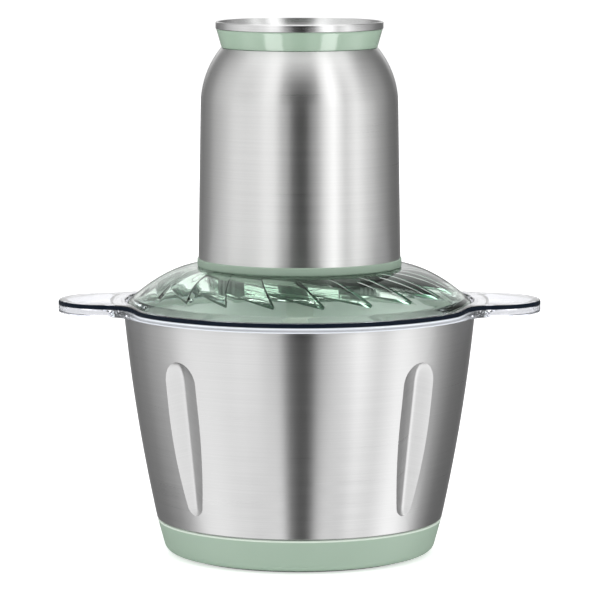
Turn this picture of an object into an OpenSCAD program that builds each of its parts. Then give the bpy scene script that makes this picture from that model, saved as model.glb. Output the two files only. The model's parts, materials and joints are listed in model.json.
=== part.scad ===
// Electric food chopper: a motor head that sits on a clear green lid, over a
// steel bowl with two clear ears. The blades turn on a pin in the bowl's floor.
// Millimetres, +Z up, origin on the table under the bowl's centre.

/* [Bowl] */
// Outer radius of the bowl's wall at its rim
bowl_rim_r = 101; // [97:0.5:106]
// Outer radius of the bowl's wall where it meets the base cover
bowl_foot_r = 82.1; // [79:0.1:87]
// Height of the wall from the base cover's top edge to the rim
bowl_wall_h = 121; // [112:1:150]
// How far the wall bulges outside a straight taper
bowl_bulge = 1.9; // [0:0.1:3]
// Thickness of the bowl's sheet steel
bowl_wall = 0.8; // [0.6:0.1:1.2]
// Radius of the bowl's lower corner
bowl_corner_r = 12; // [9:0.5:14]
// How far the wall steps in to take the base cover
bowl_step = 1.5; // [1.2:0.1:2]
// Width of the flange turned out at the rim
rim_flange_w = 1.3; // [0.8:0.1:1.8]
// Number of long flutes pressed into the wall
flute_count = 4; // [2:1:8]
// Greatest depth of a flute
flute_depth = 4.2; // [3:0.1:5]
// Greatest width of a flute
flute_w = 23.2; // [18:0.2:25]
// Height of a flute's lower tip above the base cover
flute_gap = 10.5; // [8:0.5:12]
// Length of a flute
flute_len = 88.5; // [60:0.5:92]

/* [Bowl pin] */
// Radius of the steel pin that the blades turn on
pin_r = 4.5; // [3.5:0.1:5]
// Height of the pin above the bowl's floor
pin_h = 46; // [36:1:60]
// Radius of the pin's flange on the bowl's floor
pin_flange_r = 14; // [12:0.5:18]
// Thickness of the pin's flange
pin_flange_t = 1.7; // [1:0.1:2.5]
// Radius of the shank that is riveted through the floor
pin_shank_r = 3; // [2:0.1:3.4]
// Thickness of the washer under the floor
pin_washer_t = 1.6; // [1:0.1:1.8]
// Radius of the washer under the floor
pin_washer_r = 12; // [8:0.5:14]

/* [Base cover] */
// Height of the base cover's top edge above the table
cover_h = 20; // [18:0.5:26]
// Height of the cover's floor, inside, above the table
cover_floor_h = 5.2; // [4.8:0.1:6]
// Height of the cover's underside above the table
cover_lift = 1.2; // [0.8:0.1:1.6]
// How far the cover's flat underside lies inside the bowl's foot radius
cover_foot_in = 9.6; // [8:0.2:11]
// Radius of the cover's lower outer corner
cover_corner_r = 6; // [4:0.5:7]
// Radius of the round on the cover's top edge
cover_edge_r = 0.6; // [0.2:0.1:0.6]
// How far the rubber ring's middle lies inside the flat underside
pad_in = 8.5; // [7:0.5:14]
// Width of the rubber ring
pad_w = 12; // [8:0.5:12]
// Depth of the groove that holds the rubber ring
pad_groove = 2; // [1:0.1:2.2]

/* [Handle ring] */
// Width of the clear ring outside the bowl's wall
ring_w = 2.2; // [2:0.1:3]
// Height of the clear ring's wall below the bowl's flange
ring_skirt_h = 0.7; // [0.7:0.1:4]
// Thickness of the lip over the bowl's flange
ring_lip_t = 1.6; // [1.2:0.1:2.2]
// How far the lip reaches inside the bowl's wall
ring_lip_in = 2.9; // [2.4:0.1:4]
// Distance from the axis to the tip of an ear
ear_reach = 138.5; // [134:0.5:146]
// Radius of an ear's rounded end
ear_r = 32; // [28:1:36]
// Thickness of an ear
ear_t = 7.5; // [5:0.5:9]
// Height of an ear's top above the lip's top
ear_rise = 3.9; // [3.5:0.1:4.5]
// Radius of the hollow curve where an ear joins the ring
ear_fillet_r = 22; // [12:1:26]

/* [Lid] */
// Width of the lid's flange that rests on the clear ring
lid_flange_w = 2.3; // [1.6:0.1:3]
// Thickness of the lid's flange
lid_flange_t = 2.2; // [1.6:0.1:3]
// Height of the dome from the flange's top to the head's seat
lid_rise = 20.6; // [18:0.2:26]
// Power of the dome's curve, 1 for a cone
lid_curve = 1.7; // [1.3:0.1:2.2]
// Wall thickness of the lid
lid_t = 2.2; // [1.6:0.1:3]
// Depth of the lid's skirt inside the bowl's mouth
lid_skirt_h = 5.1; // [4.9:0.1:6]
// Width of the head's seat on the lid outside the well
seat_w = 14.5; // [14:0.5:16]
// Radius of the well that takes the head's skirt
well_r = 46; // [43:0.5:47]
// Depth of the well
well_depth = 13.2; // [12.8:0.2:16]
// Number of curved vanes moulded under the dome
vane_count = 18; // [6:1:18]
// Depth of a vane
vane_h = 3.5; // [2:0.5:5]
// Thickness of a vane
vane_t = 1.8; // [1.2:0.2:3]
// Angle a vane sweeps from the well to the rim
vane_sweep = 18; // [0:2:60]

/* [Blades] */
// How far a blade's tip stays inside the bowl's foot radius
blade_gap = 8.1; // [6:0.1:20]
// Thickness of a blade
blade_t = 1.5; // [1:0.1:2.2]
// Width of a blade at its root
blade_root_w = 24; // [20:1:28]
// How far a blade's tip is swept back
blade_bow = 16; // [8:1:24]
// Height of the sleeve between the two pairs of blades
blade_pitch = 44.5; // [38:0.5:50]
// Outer radius of the blade hub's core
hub_r = 8.6; // [8:0.1:10]
// Radius of the hub's neck in the lid
neck_r = 7.9; // [7:0.1:8]
// Corner radius of the six-sided drive tenon
tenon_r = 6.2; // [5:0.1:6.8]
// Height of the drive tenon
tenon_h = 12; // [8:0.5:12]
// Wall thickness of the bush on the bowl's pin
bush_t = 1.9; // [1:0.1:2]
// Height of the hub's foot under the lower blades
hub_foot_h = 3.3; // [2.5:0.1:5]
// Thickness of the washer that the hub turns on
washer_t = 1; // [0.8:0.1:1.6]

/* [Motor head] */
// How far the head's green base ring stands outside the shell
base_ring_out = 0.65; // [0.3:0.05:1.5]
// Height of the green base ring
base_ring_h = 5; // [4:0.1:7]
// Thickness of the head's bottom plate
base_plate_t = 3; // [2:0.1:3.5]
// Outer radius of the steel shell at its lower edge
shell_low_r = 57.95; // [57.5:0.05:58]
// Outer radius of the steel shell where the shoulder starts
shell_top_r = 56.5; // [56:0.1:57]
// Height of the shell's straight part
shell_straight_h = 87.6; // [86:0.2:100]
// Height of the rounded shoulder
shoulder_h = 32.6; // [31:0.2:36]
// Radius of the shell's opening at the collar, outside
shell_mouth_r = 44.9; // [44.5:0.1:46]
// Thickness of the shell's sheet steel
shell_t = 0.8; // [0.6:0.1:1]
// Height of the green collar above the shell
collar_h = 10.8; // [9:0.2:14]
// How far the collar flares out from bottom to top
collar_flare = 3.1; // [2:0.1:4]
// Wall thickness of the collar at its lower edge
collar_t = 1.8; // [1.6:0.1:2]
// Depth of the collar's spigot inside the shell
spigot_depth = 14.6; // [14:0.2:16]
// Height of the steel lip above the collar
lip_h = 4.3; // [3:0.1:5]
// Thickness of the steel cup's sheet
cup_t = 0.6; // [0.4:0.1:0.8]
// Depth of the cup's floor below the collar's top edge
cup_depth = 15.4; // [15:0.2:16]
// Width of the cup's ledge round the buttons
cup_ledge_w = 5.2; // [4.6:0.2:8]
// Travel of a button
button_travel = 3; // [2:0.1:3]
// Height of a button's face above the cup's floor
button_rise = 5; // [4:0.2:7]
// Gap between the two buttons
button_gap = 2; // [1.8:0.1:3]
// Radius of the cord's hole in its gland
gland_bore_r = 3.3; // [3:0.1:4]
// Clearance of the cord gland above the motor's lower frame
gland_gap = 1.3; // [0.5:0.1:8]

/* [Motor] */
// Radius of the motor's shaft
shaft_r = 4; // [3.5:0.1:4.5]
// Outer radius of the field stack
stator_r = 44; // [43:0.5:46]
// Air between the motor's upper bearing and the switch plate
motor_gap = 4; // [2:0.2:8]
// Radius of the armature's core
armature_r = 21.6; // [19:0.1:21.6]
// Number of slots in the armature's core
armature_slots = 12; // [8:1:14]
// Number of blades on the cooling fan
fan_blades = 11; // [7:1:15]
// Radius of the cooling fan
fan_r = 32; // [26:1:33]
// Number of bars on the commutator
commutator_bars = 24; // [12:1:32]

/* [Fits] */
// Play between parts that only sit together
loose_fit = 0.3; // [0.2:0.05:0.4]
// Play between sheet parts pressed together
close_fit = 0.15; // [0.1:0.05:0.2]
// Radial play between a shaft and its bearing
running_fit = 0.05; // [0.02:0.01:0.08]

/* [Hidden] */
$fn = 96;
steel = "#c9c9c7";
green = "#a9beaa";
clear_plastic = "#dfe2ea";
clear_green = "#9fc0aa";
dark_green = "#7d9a84";
rubber = "#4a4c4b";
copper = "#b0673a";
iron = "#6b6d70";
phenolic = "#3b3a38";
nylon = "#e6e6e2";

// Heights of the bowl, the ring and the lid
cover_foot_r = bowl_foot_r - cover_foot_in;
pad_r = cover_foot_r - pad_in;
bowl_floor_z = cover_floor_h;
floor_top_z = bowl_floor_z + bowl_wall;
rim_z = cover_h + bowl_wall_h;
flange_r = bowl_rim_r + rim_flange_w;
ring_r = bowl_rim_r + ring_w;
ring_low_z = rim_z - bowl_wall - loose_fit - ring_skirt_h;
ring_top_z = rim_z + ring_lip_t;
mouth_r = bowl_rim_r - bowl_wall - ring_lip_in;
ear_top_z = ring_top_z + ear_rise;
ear_low_z = ear_top_z - ear_t;
lid_flange_r = mouth_r + lid_flange_w - 0.5;
skirt_r = mouth_r - loose_fit - 0.2;
lid_edge_z = ring_top_z + lid_flange_t;
seat_z = lid_edge_z + lid_rise;
crest_r = well_r + seat_w;
well_floor_z = seat_z - well_depth;
lid_low_z = ring_top_z - lid_skirt_h;

// Heights of the pin and the blades
blade_reach = bowl_foot_r - blade_gap;
pin_flange_z = floor_top_z + pin_flange_t;
pin_top_z = floor_top_z + pin_h;
hub_low_z = pin_flange_z + washer_t;
lower_blade_z = hub_low_z + hub_foot_h;
sleeve_z = lower_blade_z + blade_t;
upper_blade_z = sleeve_z + blade_pitch;
nut_z = upper_blade_z + blade_t;
nut_h = 4.5;
nut_r = 14;
hub_foot_r = 14;
sleeve_r = hub_r + 3.4;
bush_r = pin_r + running_fit + bush_t;
hub_bore_top_z = pin_top_z + loose_fit;
tenon_z = well_floor_z + 1.6;
lid_hole_r = max(neck_r, tenon_r) + loose_fit;
boss_r = lid_hole_r + 3.8;
boss_drop = 2;
boss_rise = 1;

// Heights of the motor head
base_ring_r = shell_low_r + base_ring_out;
base_top_z = seat_z + base_plate_t;
shell_low_z = seat_z + base_ring_h;
shoulder_z = shell_low_z + shell_straight_h;
mouth_z = shoulder_z + shoulder_h;
collar_top_z = mouth_z + collar_h;
lip_top_z = collar_top_z + lip_h;
cup_floor_z = collar_top_z - cup_depth;
spigot_low_z = mouth_z - spigot_depth;
shoulder_in = shell_top_r - shell_mouth_r;
shoulder_r = (shoulder_h * shoulder_h + shoulder_in * shoulder_in) / (2 * shoulder_in);
spigot_r = shell_mouth_r - shell_t - loose_fit - 0.2;
spigot_t = 2.3;
collar_low_r = shell_mouth_r - 0.5;
collar_top_r = collar_low_r + collar_flare;
cup_low_r = collar_low_r - collar_t;
cup_top_r = collar_top_r - 1.1;
button_well_r = cup_low_r - cup_ledge_w;
head_skirt_r = well_r - 0.6;
head_skirt_t = 3.4;
head_skirt_h = 3;
head_skirt_z = seat_z - head_skirt_h;
plate_hole_r = 12;
ring_inner_r = shell_low_r - shell_t - close_fit;
ring_inner_t = 2.5;
ring_inner_h = 6.6;

// Heights of the motor inside the head
post_h = 9.6;
post_r = 4.2;
frame_z = base_top_z + post_h;
frame_t = 2.5;
frame_r = ring_inner_r - ring_inner_t - 3.1;
post_circle_r = frame_r - 4.4;
bearing_h = 7;
bearing_r = 11;
frame_boss_r = 13.5;
lower_bearing_z = frame_z + frame_t - bearing_h;
fan_z = frame_z + frame_t + 1.5;
fan_h = 8;
winding_h = 8;
winding_r = 19;
stack_z = fan_z + fan_h + 2 + winding_h;
switch_plate_t = 3;
switch_plate_z = spigot_low_z - switch_plate_t;
upper_bearing_z = switch_plate_z - motor_gap - bearing_h;
bridge_t = 3;
bridge_w = 20;
bridge_z = upper_bearing_z - bridge_t;
commutator_h = 12;
commutator_r = 12;
commutator_z = bridge_z - 1 - commutator_h;
stack_top_z = commutator_z - 2 - winding_h;
stack_h = stack_top_z - stack_z;
coil_over = 7;
bolt_circle_r = stator_r - 5;
bolt_r = 2;
brush_z = commutator_z + 2.5;
brush_h = 7;
brush_w = 6;
brush_out_r = 26;
holder_wall = 1.5;
coupling_low_z = tenon_z + loose_fit;
coupling_top_z = lower_bearing_z - 1.6;
coupling_r = 8.8;
shaft_low_z = tenon_z + tenon_h + 1.1;
gland_r = gland_bore_r + 1.7;
gland_nut_r = gland_r + 1.6;
gland_flange_r = gland_r + 2.5;
gland_z = frame_z + frame_t + gland_nut_r + gland_gap;
screw_r = 1.5;

// Heights of the buttons and the switches
button_low_z = cup_floor_z - 2.5;
button_top_z = cup_floor_z + cup_t + button_rise;
button_r = button_well_r - loose_fit - 0.3;
button_flange_r = button_r + 2.4;
button_flange_h = 2.3;
switch_y = 22;
switch_size = [20, 6.4, 11];
plunger_r = 1.5;
plunger_rise = button_travel + 1;
plunger_depth = 5;
stem_r = 2.4;
stem_low_z = spigot_low_z + plunger_rise;
spring_r = 5;
spring_wire_r = 0.45;
spring_turns = 3;
spring_sides = 8;
spring_steps = 14;

coil_in_x = 20;
coil_out_x = 28;
coil_in_y = 23;
coil_out_y = 31;

// Points of an arc round [x, y]
function arc(x, y, r, from, to, steps = 8) = [
    for (i = [0:steps])
        let (a = from + (to - from) * i / steps)
            [x + r * cos(a), y + r * sin(a)]
];

// Outer radius of the bowl's wall, with its bulge
function bowl_r(z) =
    let (t = (z - cover_h) / bowl_wall_h)
        bowl_foot_r + (bowl_rim_r - bowl_foot_r) * t + 4 * bowl_bulge * t * (1 - t);

// Height of the lid's dome over a radius
function dome_z(r) =
    let (t = (r - crest_r) / (lid_flange_r - crest_r))
        seat_z - lid_rise * pow(max(t, 0), lid_curve);

// Radius of the collar's flare
function flare(z, low, high) =
    let (t = 1 - (z - mouth_z) / collar_h)
        low + (high - low) * (1 - t * t);

// Outer radius of the motor's steel shell
function shell_r(z) = z < shoulder_z
    ? shell_low_r + (shell_top_r - shell_low_r) * (z - shell_low_z) / shell_straight_h
    : shell_top_r - shoulder_r + sqrt(shoulder_r * shoulder_r - pow(z - shoulder_z, 2));

module tube(outer_r, inner_r, low_z, high_z) {
    translate([0, 0, low_z])
        difference() {
            cylinder(r = outer_r, h = high_z - low_z);
            translate([0, 0, -1])
                cylinder(r = inner_r, h = high_z - low_z + 2);
        }
}

module post(r, x, y, low_z, high_z) {
    translate([x, y, low_z])
        cylinder(r = r, h = high_z - low_z, $fn = 32);
}

// The bowl's shape with everything drawn in by a wall's thickness
module bowl_form(inset, over = 0) {
    low_r = bowl_foot_r - bowl_step;
    corner = bowl_corner_r;
    joggle_z = cover_h + 0.1;
    joggle_h = 0.8;
    wall_steps = 12;
    rotate_extrude()
        polygon(concat(
            [[0, bowl_floor_z + inset]],
            arc(low_r - corner, bowl_floor_z + corner, corner - inset, -90, 0),
            [[low_r - inset, joggle_z]],
            [
                for (i = [0:wall_steps])
                    let (z = cover_h + joggle_h + 0.1 + (bowl_wall_h - joggle_h - 0.1) * i / wall_steps)
                        [bowl_r(z) - inset, z]
            ],
            [[bowl_r(rim_z) - inset, rim_z + over], [0, rim_z + over]]
        ));
}

// Half of a flute's width, at a share of its length from the lower tip
function flute_half(s) =
    let (taper = 1 - pow(1 - min(s / 0.67, 1), 2))
    let (low_tip = s < 0.05 ? sqrt(1 - pow(1 - s / 0.05, 2)) : 1)
    let (top_tip = s > 0.86 ? sqrt(max(1 - pow((s - 0.86) / 0.14, 2), 0)) : 1)
        flute_w / 2 * (0.4 + 0.6 * taper) * low_tip * top_tip;

// Long drop-shaped bodies that press the flutes into the wall
module flutes(extra) {
    low_z = cover_h + flute_gap;
    high_z = low_z + flute_len;
    low_r = bowl_r(low_z);
    lean_in = bowl_r(high_z) - low_r;
    lean = atan2(lean_in, flute_len);
    length = flute_len / cos(lean);
    half_w = flute_w / 2;
    sag = half_w * half_w / (2 * bowl_rim_r);
    standoff = (half_w * half_w + sag * sag - flute_depth * flute_depth) / (2 * (flute_depth - sag));
    clear = 0.15;
    skew = 1.5;
    steps = 16;
    for (k = [0:flute_count - 1])
        rotate([0, 0, 45 + 360 * k / flute_count + (k % 2 == 0 ? skew : -skew)])
            translate([low_r + standoff, 0, low_z])
                rotate([0, lean, 0])
                    rotate_extrude($fn = 64)
                        polygon(concat(
                            [[0, 0]],
                            [
                                for (i = [0:steps])
                                    let (s = (1 - cos(180 * i / steps)) / 2)
                                    let (w = flute_half(s))
                                    let (bulge = bowl_r(low_z + s * flute_len) - low_r - lean_in * s)
                                    let (reach = standoff - bulge + w * w / (2 * bowl_rim_r))
                                        [sqrt(w * w + reach * reach) + extra - clear, s * length]
                            ],
                            [[0, length]]
                        ));
}

module bowl() {
    color(steel)
        difference() {
            union() {
                difference() {
                    bowl_form(0);
                    flutes(0);
                }
                tube(flange_r, bowl_rim_r - bowl_wall, rim_z - bowl_wall, rim_z);
            }
            difference() {
                bowl_form(bowl_wall, 1);
                flutes(bowl_wall);
            }
            translate([0, 0, bowl_floor_z - 1])
                cylinder(r = pin_shank_r, h = bowl_wall + 2);
        }
}

module bowl_pin() {
    tip = 1;
    color(steel)
        rotate_extrude()
            polygon([
                [0, bowl_floor_z - pin_washer_t],
                [pin_shank_r, bowl_floor_z - pin_washer_t],
                [pin_shank_r, floor_top_z],
                [pin_flange_r, floor_top_z],
                [pin_flange_r, pin_flange_z],
                [pin_r, pin_flange_z],
                [pin_r, pin_top_z - tip],
                [pin_r - tip, pin_top_z],
                [0, pin_top_z]
            ]);
}

module pin_washer() {
    color(steel)
        tube(pin_washer_r, pin_shank_r, bowl_floor_z - pin_washer_t, bowl_floor_z);
}

module base_cover() {
    low_r = bowl_foot_r - bowl_step + close_fit;
    corner = bowl_corner_r + close_fit;
    edge = cover_edge_r;
    out_r = cover_foot_r + cover_corner_r;
    color(green)
        difference() {
            rotate_extrude()
                polygon(concat(
                    [[0, cover_lift]],
                    arc(cover_foot_r, cover_lift + cover_corner_r, cover_corner_r, -90, -15),
                    arc(bowl_foot_r - edge, cover_h - edge, edge, 0, 90, 4),
                    [[low_r, cover_h]],
                    arc(low_r - corner, cover_floor_h + corner, corner, 0, -90),
                    [[0, cover_floor_h]]
                ));
            tube(pad_r + pad_w / 2, pad_r - pad_w / 2, 0, cover_lift + pad_groove);
            translate([0, 0, cover_floor_h - pin_washer_t - 0.4])
                cylinder(r = pin_washer_r + 2, h = cover_floor_h);
        }
}

module foot_ring() {
    color(rubber)
        tube(pad_r + pad_w / 2, pad_r - pad_w / 2, 0, cover_lift + pad_groove);
}

// Outline of one ear, from the axis out, with hollow curves where it joins the ring
module ear_outline() {
    centre = ear_reach - ear_r;
    to_ring = ring_r + ear_fillet_r;
    to_ear = ear_r + ear_fillet_r;
    x = (to_ring * to_ring - to_ear * to_ear + centre * centre) / (2 * centre);
    y = sqrt(to_ring * to_ring - x * x);
    ring_dir = 180 - atan2(y, x);
    ear_dir = atan2(y, centre - x);
    polygon(concat(
        [[0, 0]],
        arc(x, -y, ear_fillet_r, ring_dir, ear_dir),
        arc(centre, 0, ear_r, ear_dir - 180, 180 - ear_dir, 24),
        arc(x, y, ear_fillet_r, -ear_dir, -ring_dir)
    ));
}

module handle_ring() {
    groove_r = flange_r + close_fit;
    under_z = min(ring_low_z, ear_low_z) - 1;
    color(clear_plastic, 0.5)
        difference() {
            union() {
                translate([0, 0, ring_low_z])
                    cylinder(r = ring_r, h = lid_edge_z - ring_low_z, $fn = 128);
                for (turn = [0, 180])
                    translate([0, 0, ear_low_z])
                        rotate([0, 0, turn])
                            linear_extrude(height = ear_t)
                                ear_outline();
            }
            translate([0, 0, under_z])
                cylinder(r = bowl_rim_r + close_fit, h = rim_z - bowl_wall - under_z);
            translate([0, 0, rim_z - bowl_wall - close_fit])
                cylinder(r = groove_r, h = bowl_wall + close_fit);
            translate([0, 0, under_z])
                cylinder(r = mouth_r, h = ring_top_z);
            translate([0, 0, ring_top_z])
                cylinder(r = lid_flange_r + 0.8, h = ear_rise + 1);
        }
}

module thrust_washer() {
    color(nylon)
        tube(hub_r + 0.4, pin_r + 0.1, pin_flange_z, hub_low_z);
}

module blade_hub() {
    color(nylon)
        difference() {
            union() {
                rotate_extrude()
                    polygon([
                        [0, hub_low_z],
                        [hub_foot_r, hub_low_z],
                        [hub_foot_r, lower_blade_z],
                        [hub_r, lower_blade_z],
                        [hub_r, nut_z + nut_h],
                        [neck_r, nut_z + nut_h + 2],
                        [neck_r, tenon_z],
                        [0, tenon_z]
                    ]);
                translate([0, 0, tenon_z])
                    cylinder(r = tenon_r, h = tenon_h, $fn = 6);
            }
            translate([0, 0, hub_low_z - 1])
                cylinder(r = bush_r, h = hub_bore_top_z - hub_low_z + 1);
        }
}

module pin_bush() {
    color(phenolic)
        tube(bush_r, pin_r + running_fit, hub_low_z + 0.2, hub_bore_top_z - 2);
}

// One swept arm, from the axis out along +X
module blade_arm() {
    steps = 10;
    tip_half_w = 1;
    root_half_w = blade_root_w / 2;
    polygon(concat(
        [
            for (i = [0:steps])
                let (t = i / steps)
                    [blade_reach * t, blade_bow * t * t - tip_half_w - (root_half_w - tip_half_w) * (1 - pow(t, 1.6))]
        ],
        [
            for (i = [steps:-1:0])
                let (t = i / steps)
                    [blade_reach * t, blade_bow * t * t + tip_half_w + (root_half_w - tip_half_w) * (1 - pow(t, 1.6))]
        ]
    ));
}

module blade_pair(low_z, turn) {
    color(steel)
        translate([0, 0, low_z])
            difference() {
                for (side = [0, 180])
                    rotate([0, 0, turn + side])
                        linear_extrude(height = blade_t)
                            blade_arm();
                translate([0, 0, -1])
                    cylinder(r = hub_r + 0.05, h = blade_t + 2);
            }
}

module lower_blades() {
    blade_pair(lower_blade_z, 20);
}

module upper_blades() {
    blade_pair(upper_blade_z, 110);
}

module blade_sleeve() {
    color(nylon)
        tube(sleeve_r, hub_r + 0.05, sleeve_z, upper_blade_z);
}

module blade_nut() {
    color(nylon)
        difference() {
            translate([0, 0, nut_z])
                cylinder(r = nut_r, h = nut_h, $fn = 6);
            translate([0, 0, nut_z - 1])
                cylinder(r = hub_r + 0.05, h = nut_h + 2);
        }
}

module vane_outlines() {
    low_r = well_r + lid_t - 0.5;
    high_r = skirt_r - lid_t + 0.4;
    steps = 5;
    half_t = vane_t / 2;
    for (k = [0:vane_count - 1])
        rotate([0, 0, (k + 0.5) * 360 / vane_count - vane_sweep / 2])
            polygon(concat(
                [
                    for (i = [0:steps])
                        let (r = low_r + (high_r - low_r) * i / steps, a = vane_sweep * i / steps)
                            [r * cos(a) + half_t * sin(a), r * sin(a) - half_t * cos(a)]
                ],
                [
                    for (i = [steps:-1:0])
                        let (r = low_r + (high_r - low_r) * i / steps, a = vane_sweep * i / steps)
                            [r * cos(a) - half_t * sin(a), r * sin(a) + half_t * cos(a)]
                ]
            ));
}

module lid() {
    steps = 10;
    inner_r = skirt_r - lid_t;
    seal_in = 1.2;
    edge = 0.6;
    color(clear_green, 0.6) {
        difference() {
            rotate_extrude()
                polygon(concat(
                    [
                        [lid_hole_r, well_floor_z - lid_t - boss_drop],
                        [boss_r, well_floor_z - lid_t - boss_drop],
                        [boss_r, well_floor_z - lid_t],
                        [well_r + lid_t, well_floor_z - lid_t],
                        [well_r + lid_t, seat_z - lid_t],
                        [crest_r, seat_z - lid_t]
                    ],
                    [
                        for (i = [1:steps])
                            let (r = crest_r + (inner_r - crest_r) * i / steps)
                                [r, dome_z(r) - lid_t]
                    ],
                    [
                        [inner_r, lid_low_z],
                        [skirt_r, lid_low_z],
                        [skirt_r, ring_top_z],
                        [lid_flange_r, ring_top_z],
                        [lid_flange_r, lid_edge_z - edge],
                        [lid_flange_r - edge, lid_edge_z]
                    ],
                    [
                        for (i = [steps:-1:0])
                            let (r = crest_r + (lid_flange_r - edge - crest_r) * i / steps)
                                [r, max(dome_z(r), lid_edge_z)]
                    ],
                    [
                        [well_r, seat_z],
                        [well_r, well_floor_z],
                        [boss_r, well_floor_z],
                        [boss_r, well_floor_z + boss_rise],
                        [lid_hole_r, well_floor_z + boss_rise]
                    ]
                ));
            tube(skirt_r + 1, skirt_r - seal_in, lid_low_z + 1, ring_top_z - 1.1);
        }
        intersection() {
            translate([0, 0, lid_low_z])
                linear_extrude(height = lid_rise + 10)
                    vane_outlines();
            rotate_extrude()
                polygon(concat(
                    [
                        for (i = [0:steps])
                            let (r = well_r + 1 + (inner_r + 0.4 - well_r - 1) * i / steps)
                                [r, dome_z(r) - lid_t - vane_h]
                    ],
                    [
                        for (i = [steps:-1:0])
                            let (r = well_r + 1 + (inner_r + 0.4 - well_r - 1) * i / steps)
                                [r, dome_z(r) - lid_t + 0.4]
                    ]
                ));
        }
    }
}

module lid_seal() {
    color(nylon)
        tube(skirt_r + 0.25, skirt_r - 1.2, lid_low_z + 1, ring_top_z - 1.1);
}

module base_ring() {
    vents = 6;
    vent_r = 5;
    vent_circle_r = (plate_hole_r + head_skirt_r - head_skirt_t) / 2;
    edge = 1;
    color(green)
        difference() {
            union() {
                rotate_extrude()
                    polygon(concat(
                        [
                            [plate_hole_r, seat_z],
                            [head_skirt_r - head_skirt_t, seat_z],
                            [head_skirt_r - head_skirt_t, head_skirt_z],
                            [head_skirt_r, head_skirt_z],
                            [head_skirt_r, seat_z]
                        ],
                        arc(base_ring_r - edge, seat_z + edge, edge, -90, 0, 4),
                        arc(base_ring_r - 0.6, shell_low_z - 0.6, 0.6, 0, 90, 3),
                        [
                            [ring_inner_r, shell_low_z],
                            [ring_inner_r, shell_low_z + ring_inner_h],
                            [ring_inner_r - ring_inner_t, shell_low_z + ring_inner_h],
                            [ring_inner_r - ring_inner_t, base_top_z],
                            [plate_hole_r, base_top_z]
                        ]
                    ));
                for (turn = [45:90:315])
                    rotate([0, 0, turn])
                        post(post_r, post_circle_r, 0, base_top_z - 0.5, frame_z);
            }
            for (k = [0:vents - 1])
                rotate([0, 0, 360 * k / vents])
                    post(vent_r, vent_circle_r, 0, seat_z - 1, base_top_z + 1);
            for (turn = [45:90:315])
                rotate([0, 0, turn])
                    post(screw_r, post_circle_r, 0, base_top_z + 1, frame_z + 1);
        }
}

module shell_form(inset, low_over, high_over) {
    steps = 10;
    rotate_extrude()
        polygon(concat(
            [[0, shell_low_z - low_over], [shell_r(shell_low_z) - inset, shell_low_z - low_over]],
            [
                for (i = [0:steps])
                    let (z = shoulder_z + (mouth_z - shoulder_z) * i / steps)
                        [shell_r(z) - inset, z]
            ],
            [[shell_r(mouth_z) - inset, mouth_z + high_over], [0, mouth_z + high_over]]
        ));
}

module motor_shell() {
    color(steel)
        difference() {
            shell_form(0, 0, 0);
            shell_form(shell_t, 1, 1);
            translate([0, 0, gland_z])
                rotate([-90, 0, 0])
                    cylinder(r = gland_r + 0.2, h = base_ring_r + 5);
        }
}

module neck_collar() {
    steps = 8;
    seat_in = 1.6;
    color(green)
        rotate_extrude()
            polygon(concat(
                [
                    [spigot_r - spigot_t, spigot_low_z],
                    [spigot_r, spigot_low_z],
                    [spigot_r, mouth_z]
                ],
                [
                    for (i = [0:steps])
                        let (z = mouth_z + collar_h * i / steps)
                            [flare(z, collar_low_r, collar_top_r), z]
                ],
                [
                    for (i = [steps:-1:0])
                        let (z = mouth_z + collar_h * i / steps)
                            [flare(z, cup_low_r, cup_top_r), z]
                ],
                [[cup_low_r, cup_floor_z], [spigot_r - spigot_t, cup_floor_z]]
            ));
}

module top_cup() {
    steps = 8;
    play = 0.1;
    lip_r = collar_top_r + 0.4;
    lip_round = 1;
    color(steel)
        rotate_extrude()
            polygon(concat(
                [
                    [button_well_r, cup_floor_z],
                    [cup_low_r - play, cup_floor_z]
                ],
                [
                    for (i = [0:steps])
                        let (z = mouth_z + collar_h * i / steps)
                            [flare(z, cup_low_r, cup_top_r) - play, z]
                ],
                [[lip_r, collar_top_z]],
                arc(lip_r - lip_round, lip_top_z - lip_round, lip_round, 0, 90, 4),
                [[cup_top_r - play - cup_t, lip_top_z - 1.2]],
                [
                    for (i = [steps:-1:0])
                        let (z = mouth_z + collar_h * i / steps)
                            [flare(z, cup_low_r, cup_top_r) - play - cup_t, z]
                ],
                [
                    [cup_low_r - play - cup_t, cup_floor_z + cup_t],
                    [button_well_r, cup_floor_z + cup_t]
                ]
            ));
}

module cord_gland() {
    flange_t = 1.5;
    inside = 12.4;
    nut_t = 3;
    seat_gap = 0.02;
    color(dark_green)
        translate([0, shell_r(gland_z - gland_flange_r) + seat_gap, gland_z])
            rotate([-90, 0, 0])
                difference() {
                    union() {
                        translate([0, 0, -inside])
                            cylinder(r = gland_r, h = inside);
                        cylinder(r = gland_flange_r, h = flange_t);
                        translate([0, 0, -inside])
                            cylinder(r = gland_nut_r, h = nut_t);
                    }
                    translate([0, 0, -inside - 1])
                        cylinder(r = gland_bore_r, h = inside + flange_t + 2);
                }
}

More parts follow.
